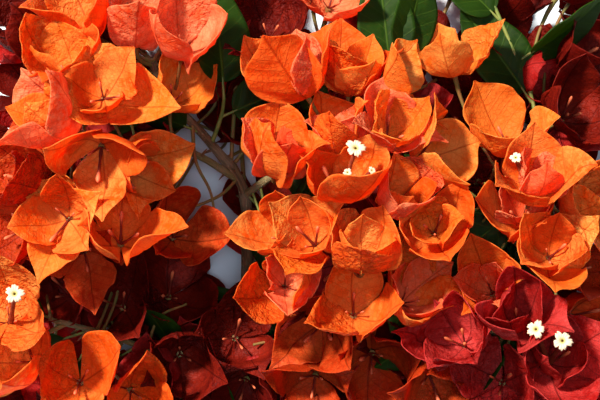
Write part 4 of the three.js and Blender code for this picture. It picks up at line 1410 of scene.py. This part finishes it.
# Height and radius from foot to tip, as shares of the length
CLOSED_FLORET = [
    (0, 0.02), (0.03, 0.036), (0.16, 0.05), (0.34, 0.034), (0.6, 0.036), (0.76, 0.048), (0.88, 0.064),
    (0.95, 0.054), (1, 0.02),
]
OPEN_TUBE = [(0, 0.02), (0.03, 0.032), (0.16, 0.044), (0.36, 0.03), (0.7, 0.03), (0.9, 0.036), (0.96, 0.03)]


def floret_way(bloom, bract):
    tilt = FLORET_TILT * float(midrib_at(bract, array(0.12))[2])
    return bloom.axis * math.cos(tilt) + bract.out * math.sin(tilt)


def lathe(skin, profile, sides, ridge=0.0, **marks):
    """A closed turned shape along +Z: profile holds heights and radii from foot to tip, ridge its notches."""
    heights, radii = array(profile).T
    dots = np.stack([np.zeros_like(heights), np.zeros_like(heights), heights], axis=-1)
    notch = 1 - ridge * (np.arange(sides) % 2)
    add_tube(skin, dots, radii[:, None] * notch, **marks)


def closed_floret():
    skin = Skin()
    lathe(skin, CLOSED_FLORET, 8, FLORET_RIDGE, below=1 - array(CLOSED_FLORET)[:, :1])
    return small_thing("closed_floret", skin)


def open_tube():
    skin = Skin()
    lathe(skin, OPEN_TUBE, 10, TUBE_RIDGE)
    return small_thing("open_tube", skin)


STAR_RINGS = 7
STAR_SIDES = 60
STAR_THROAT = 0.06
STAR_THICKNESS = 0.05


def lobes_of(turn):
    """How far a star reaches at each turn: five broad lobes, none quite like another, each notched."""
    fifth = 2.5 * turn
    lobe = 0.56 + 0.4 * np.abs(np.cos(fifth)) ** 0.7 + 0.07 * np.sin(3 * turn + 1) + 0.05 * np.sin(17 * turn)
    from_tip = np.minimum(np.mod(fifth, math.pi), math.pi - np.mod(fifth, math.pi))
    return lobe - 0.14 * np.exp(-((from_tip / 0.22) ** 2))


def star():
    """The face of an open floret, as a thin closed shell round the throat."""
    reach = np.linspace(STAR_THROAT, 1, STAR_RINGS)[:, None]
    turn = 2 * math.pi * np.arange(STAR_SIDES) / STAR_SIDES
    radius = reach * (1 + (lobes_of(turn) - 1) * reach**1.5)
    height = 0.34 * (1 - (1 - reach) ** 2) + 0.08 * np.sin(15 * turn + 1) * reach**2 - 0.2 * reach**4
    points = np.stack([radius * np.cos(turn), radius * np.sin(turn), height], axis=-1)
    both = np.concatenate([points, (points - array((0, 0, STAR_THICKNESS)))[::-1]])
    quads = grid_quads(2 * STAR_RINGS, STAR_SIDES, wrap=True)
    ring = np.arange(STAR_SIDES)
    last = ring + (2 * STAR_RINGS - 1) * STAR_SIDES
    seam = np.stack([last, np.roll(last, -1), np.roll(ring, -1), ring], axis=-1)
    marks = np.broadcast_to(reach, radius.shape)
    skin = Skin()
    skin.add(both, np.concatenate([quads, seam]), reach=np.concatenate([marks, marks[::-1]]).ravel())
    return small_thing("star", skin)


def open_florets():
    """The rows of the tubes and of the stars."""
    tubes_out, stars_out = [], []
    blooms_called = {head.name: head.blooms[0] for head in heads}
    for seed, (name, place, radius) in enumerate(STARS):
        bloom = blooms_called[name]
        foot = bloom.root + bloom.axis
        arm = array(place) - foot
        reach = float(np.linalg.norm(arm))
        facing = unit(arm / reach + array((0, 0, STAR_TURN)))
        tubes_out.append((foot, arm / reach, seed, reach * MM))
        stars_out.append((foot + arm * STAR_SEAT, facing, seed, radius * MM))
    return tubes_out, stars_out


def closed_florets():
    rows = []
    for bloom in blooms:
        between = chooser(FLORET_SEED + bloom.number)
        foot = bloom.root + bloom.axis
        for bract in bracts_of(bloom):
            way = unit(floret_way(bloom, bract) + array([between(*FLORET_SCATTER) for _ in range(3)]))
            tip = pressed(bloom, foot + way * FLORET_LENGTH * bloom.length * between(*BUD_LENGTHS))
            rows.append((foot, unit(tip - foot), between(*ANY_TURN), float(np.linalg.norm(tip - foot)) * MM))
    return rows


tube_rows, star_rows = open_florets()
set_out("closed_florets", closed_floret(), closed_florets(), BUD, "floret")
set_out("open_floret_tubes", open_tube(), tube_rows, FLORET_TUBE, "floret")
set_out("floret_stars", star(), star_rows, FLORET_FACE, "floret")

# Woody limbs with the bark's relief

LIMB_STEP = 1.1
LIMB_SIDES = 26
NODE_SWELLING = 0.16  # a limb is thicker by this share where a shoot or head grows from it
NODE_LENGTH = 3.2

# Two sizes of relief on the bark: how fine it is round the limb and along it, and its height
BARK_RELIEF = ((2.2, 0.09, 0.055), (5, 0.35, 0.03))


def relief_at(angle, far, seed):
    """The bark's relief, as a share of the limb's radius."""
    total = 0
    for fineness, pace, height in BARK_RELIEF:
        place = (fineness * math.cos(angle), fineness * math.sin(angle), pace * far + seed)
        total += height * noise.noise(Vector(place))
    return total


def limb_rings(path, radii, nodes, seed):
    """The limb's dots, the radius at each dot and side, and how far along each dot is."""
    count = max(12, round(path.length / LIMB_STEP))
    share = np.linspace(0, 1, count + 1)
    radius = np.interp(share, (0, 1), radii)
    for node in nodes:
        radius = radius * (1 + NODE_SWELLING * np.exp(-(((share - node) * path.length / NODE_LENGTH) ** 2)))
    turn = 2 * math.pi * np.arange(LIMB_SIDES) / LIMB_SIDES
    relief = array([[relief_at(angle, far, seed) for angle in turn] for far in share * path.length])
    return path.at(share), radius[:, None] * (1 + relief), share


def limb_piece(name, seed):
    path, (_, radii) = paths[name], LIMBS[name]
    nodes = [share for _, shoot, share, _, _ in HEADS if shoot == name]
    dots, rings, share = limb_rings(path, radii, nodes, seed)
    around = np.abs(2 * np.arange(LIMB_SIDES) / LIMB_SIDES - 1)
    skin = Skin()
    add_tube(skin, dots, rings, round=around, along=share[:, None] * path.length)
    is_old = name == "main_stem"
    made = skin.piece(name + "_bark", BARK if is_old else YOUNG_BARK, CUT_WOOD)
    if is_old:
        cut_face = [polygon for polygon in made.data.polygons if len(polygon.vertices) == 3][:LIMB_SIDES]
        for polygon in cut_face:
            polygon.material_index = 1
            polygon.use_smooth = False
    return dressed(made, "bark", name)


for seed, name in enumerate(LIMBS):
    limb_piece(name, 10.0 * seed)

# Leaves and the green twigs they grow from

LEAF_THICKNESS = 0.42
LEAF_GRID = (34, 19)
GREEN_TWIG_DOTS = 30
GREEN_TWIG_RADII = (1.05, 0.75)
LEAF_STALK_STEPS = 8
LEAF_STALK_RADII = (0.75, 0.5)


def add_leaf(skin, leaf):
    s, q = blade_grid(*LEAF_GRID)
    add_blade(skin, leaf_surface(leaf, s, q), LEAF_THICKNESS, vein_x=leaf_side(s, q), vein_y=s)


def leaf_stalk(leaf):
    end = leaf_surface(leaf, array(0.05), array(0.0))
    dots = bent_line(leaf.node, leaf.root - 3 * leaf.way, end, LEAF_STALK_STEPS)
    return dots, np.linspace(*LEAF_STALK_RADII, len(dots))


for shoot, group in leaves.items():
    blades = Skin()
    for leaf in group:
        add_leaf(blades, leaf)
    dressed(blades.piece(shoot + "_leaves", LEAF), "leaf", shoot)
    twig_dots = paths[shoot].at(np.linspace(0, 1, GREEN_TWIG_DOTS))
    twig = (twig_dots, np.linspace(*GREEN_TWIG_RADII, GREEN_TWIG_DOTS))
    tubes(shoot + "_twig", [twig, *map(leaf_stalk, group)], GREEN_TWIG, "leaf")

# Fine twigs, green shoots and thorns: each twig's route, and its radius at its two ends

FINE_TWIGS = [
    ([(-46, 33, 41), (-44, 16, 46), (-38, 4, 49), (-36, -4, 52)], (0.9, 0.5)),
    ([(-27, 9, 35), (-34, 2, 42), (-46, -3, 47), (-56, -4, 52)], (0.8, 0.5)),
    ([(-12, 10, 47), (-20, 22, 50), (-24, 30, 54)], (0.7, 0.5)),
    ([(10, -52, 22), (-2, -58, 32), (-20, -62, 38)], (0.9, 0.6)),
    ([(-66, -64, 34), (-60, -50, 40), (-48, -44, 46)], (0.8, 0.5)),
]
GREEN_SHOOTS = [
    ([(70, -14, 50), (77, -7, 62), (74, -1, 70), (68, 4, 73), (64, 6, 75)], (0.75, 0.45)),
    ([(75, -2, 68), (71, -4, 72), (67, -4, 74)], (0.55, 0.4)),
    ([(76, -5, 65), (76, 3, 71), (75, 7, 75)], (0.5, 0.35)),
    ([(82, -8, 56), (86, -15, 61), (81, -22, 64), (74, -24, 66)], (0.8, 0.5)),
]
TWIG_DOTS = 24


def twig_lines(rows):
    shares = np.linspace(0, 1, TWIG_DOTS)
    return [(Path(points).at(shares), np.linspace(*radii, TWIG_DOTS)) for points, radii in rows]


tubes("fine_twigs", twig_lines(FINE_TWIGS), STALK, "bark")
tubes("green_shoots", twig_lines(GREEN_SHOOTS), GREEN_TWIG, "leaf")

THORN_STEP = 13  # from one thorn to the next along a limb
THORN_LENGTHS = (4, 7.5)
THORN_SEED = 4000
THORN_ENDS = (0.08, 0.96)  # a limb bears thorns from one of these shares to the other
THORN_FOOT = 0.11  # radius at its foot and tip, and how far it bends, for a thorn of length 1
THORN_TIP = 0.006
THORN_BEND = 0.12
THORN_LEAN = 0.35  # how much it points along the limb
THORN_DEPTH = 0.8  # where its foot is, as a share of the limb's radius


def thorn():
    """A spike that is thickest at its foot and bends a little towards its tip."""
    skin = Skin()
    heights = np.linspace(0, 1, 8)
    dots = np.stack([THORN_BEND * heights**2, np.zeros_like(heights), heights], axis=-1)
    add_tube(skin, dots, np.outer(THORN_FOOT * (1 - heights) ** 0.8 + THORN_TIP, np.ones(8)))
    return small_thing("thorn_spike", skin)


def thorn_rows():
    between = chooser(THORN_SEED)
    rows = []
    for name, (_, radii) in LIMBS.items():
        path = paths[name]
        for share in np.arange(*THORN_ENDS, THORN_STEP / path.length):
            along = unit(path.at(share + 0.02) - path.at(share))
            out = unit(np.cross(along, array([between(-1, 1) for _ in range(3)])))
            foot = path.at(share) + out * np.interp(share, (0, 1), radii) * THORN_DEPTH
            way = unit(out + THORN_LEAN * along)
            rows.append((foot, way, between(*ANY_TURN), between(*THORN_LENGTHS) * MM))
    return rows


set_out("thorns", thorn(), thorn_rows(), THORN, "bark")

# Leaves deep in the branch, dark in the shade, each on a twig of its own

INNER_LEAVES = 64
INNER_LEAF_SEED = 5000
INNER_LEAF_LENGTHS = (24, 36)
INNER_LEAF_SLOPES = (-0.25, 0.45)  # how steeply each points down or up
INNER_LEAF_STALKS = (4, 16)
INNER_LEAF_STALK_RADII = (0.7, 0.45)
INNER_LEAF_ROOM = 14  # kept to the middles of the blooms in front
INNER_LEAF_SKY_ROOM = 4
INNER_LEAF_HEIGHTS = (4, 58)  # between which its tip is
INNER_LEAF_GRID = (8, 5)
INNER_LEAF_THICKNESS = 0.012  # for a leaf of length 1


def small_leaf():
    """A leaf of length 1 along +Z, folded along its midrib."""
    s, q = blade_grid(*INNER_LEAF_GRID)
    width = leaf_side(s, q)
    points = np.stack([width, 0.25 * np.abs(width) - LEAF_ARCH * s * s, s], axis=-1)
    skin = Skin()
    add_blade(skin, points, INNER_LEAF_THICKNESS, vein_x=width, vein_y=s)
    return small_thing("small_leaf", skin)


bloom_middles = array([bloom.middle for bloom in blooms])


def fits_inside(root, tip):
    """Whether a leaf keeps to the CAD box, below the blooms in front, and out of the sky's gaps."""
    middle = (root + tip) / 2
    low, high = INNER_LEAF_HEIGHTS
    in_box = (tip > BOX_FOOT).all() and (tip < BOX_TOP).all() and low < tip[2] < high
    if not in_box or any(is_open_sky(place, INNER_LEAF_SKY_ROOM) for place in (root, middle, tip)):
        return False
    return min(nearest(bloom_middles, middle), nearest(bloom_middles, tip)) >= INNER_LEAF_ROOM


def inner_leaf_rows():
    """The leaves' rows, and the lines of their stalks."""
    between = chooser(INNER_LEAF_SEED)
    rows, lines = [], []
    while len(rows) < INNER_LEAVES:
        node = limb_dots[int(between(0, len(limb_dots) - 1))]
        way = unit(array((between(-1, 1), between(-1, 1), between(*INNER_LEAF_SLOPES))))
        length = between(*INNER_LEAF_LENGTHS)
        root = node + way * between(*INNER_LEAF_STALKS)
        spin = between(*ANY_TURN)
        if fits_inside(root, root + way * length):
            rows.append((root, way, spin, length * MM))
            stalk = bent_line(node, (node + root) / 2 + array((0, 0, 1)), root + way, 6)
            lines.append((stalk, np.linspace(*INNER_LEAF_STALK_RADII, len(stalk))))
    return rows, lines


leaf_rows, leaf_stalks = inner_leaf_rows()
set_out("inner_leaves", small_leaf(), leaf_rows, LEAF, "leaf")
tubes("inner_leaf_twigs", leaf_stalks, GREEN_TWIG, "leaf", smooth=False)

# Floor, light and camera

FLOOR_SIZE = 12.0  # metres, as are all sizes from here on
FLOOR_COLOURS = ((0.68, 0.76, 0.84, 1), (0.7, 0.78, 0.86, 1))
half = FLOOR_SIZE / 2
floor_mesh = bpy.data.meshes.new("floor")
corners = [(-half, -half, 0), (half, -half, 0), (half, half, 0), (-half, half, 0)]
floor_mesh.from_pydata(corners, [], [(0, 1, 2, 3)])
floor_mesh.materials.append(plain_skin("floor_paper", *FLOOR_COLOURS, 0.9))
floor = bpy.data.objects.new("floor", floor_mesh)
bpy.context.scene.collection.objects.link(floor)

LIGHT_AIM = (0, 0, 0.05)


def softbox(name, place, size, power, tint):
    light = bpy.data.lights.new(name, "AREA")
    light.shape = "SQUARE"
    light.size = size
    light.energy = power
    light.color = tint
    made = bpy.data.objects.new(name, light)
    made.location = place
    made.rotation_euler = (Vector(LIGHT_AIM) - Vector(place)).to_track_quat("-Z", "Y").to_euler()
    bpy.context.scene.collection.objects.link(made)


softbox("key_softbox", (-1.6, 1.5, 2.5), 0.34, 288, (1.0, 0.92, 0.8))
softbox("fill_softbox", (0.04, -0.01, 1.5), 0.3, 6.2, (0.74, 0.87, 1.0))

world = bpy.data.worlds.new("studio")
bpy.context.scene.world = world
world.use_nodes = True
background = world.node_tree.nodes["Background"]
background.inputs["Color"].default_value = (0.86, 0.92, 1.0, 1)
background.inputs["Strength"].default_value = 0.1

lens = bpy.data.cameras.new("camera")
lens.lens = 100
lens.sensor_width = 36
camera = bpy.data.objects.new("camera", lens)
camera.location = (*(-MIDDLE[:2] * MM), CAMERA_HEIGHT * MM)
bpy.context.scene.collection.objects.link(camera)
bpy.context.scene.camera = camera
bpy.context.scene.view_settings.view_transform = "Standard"
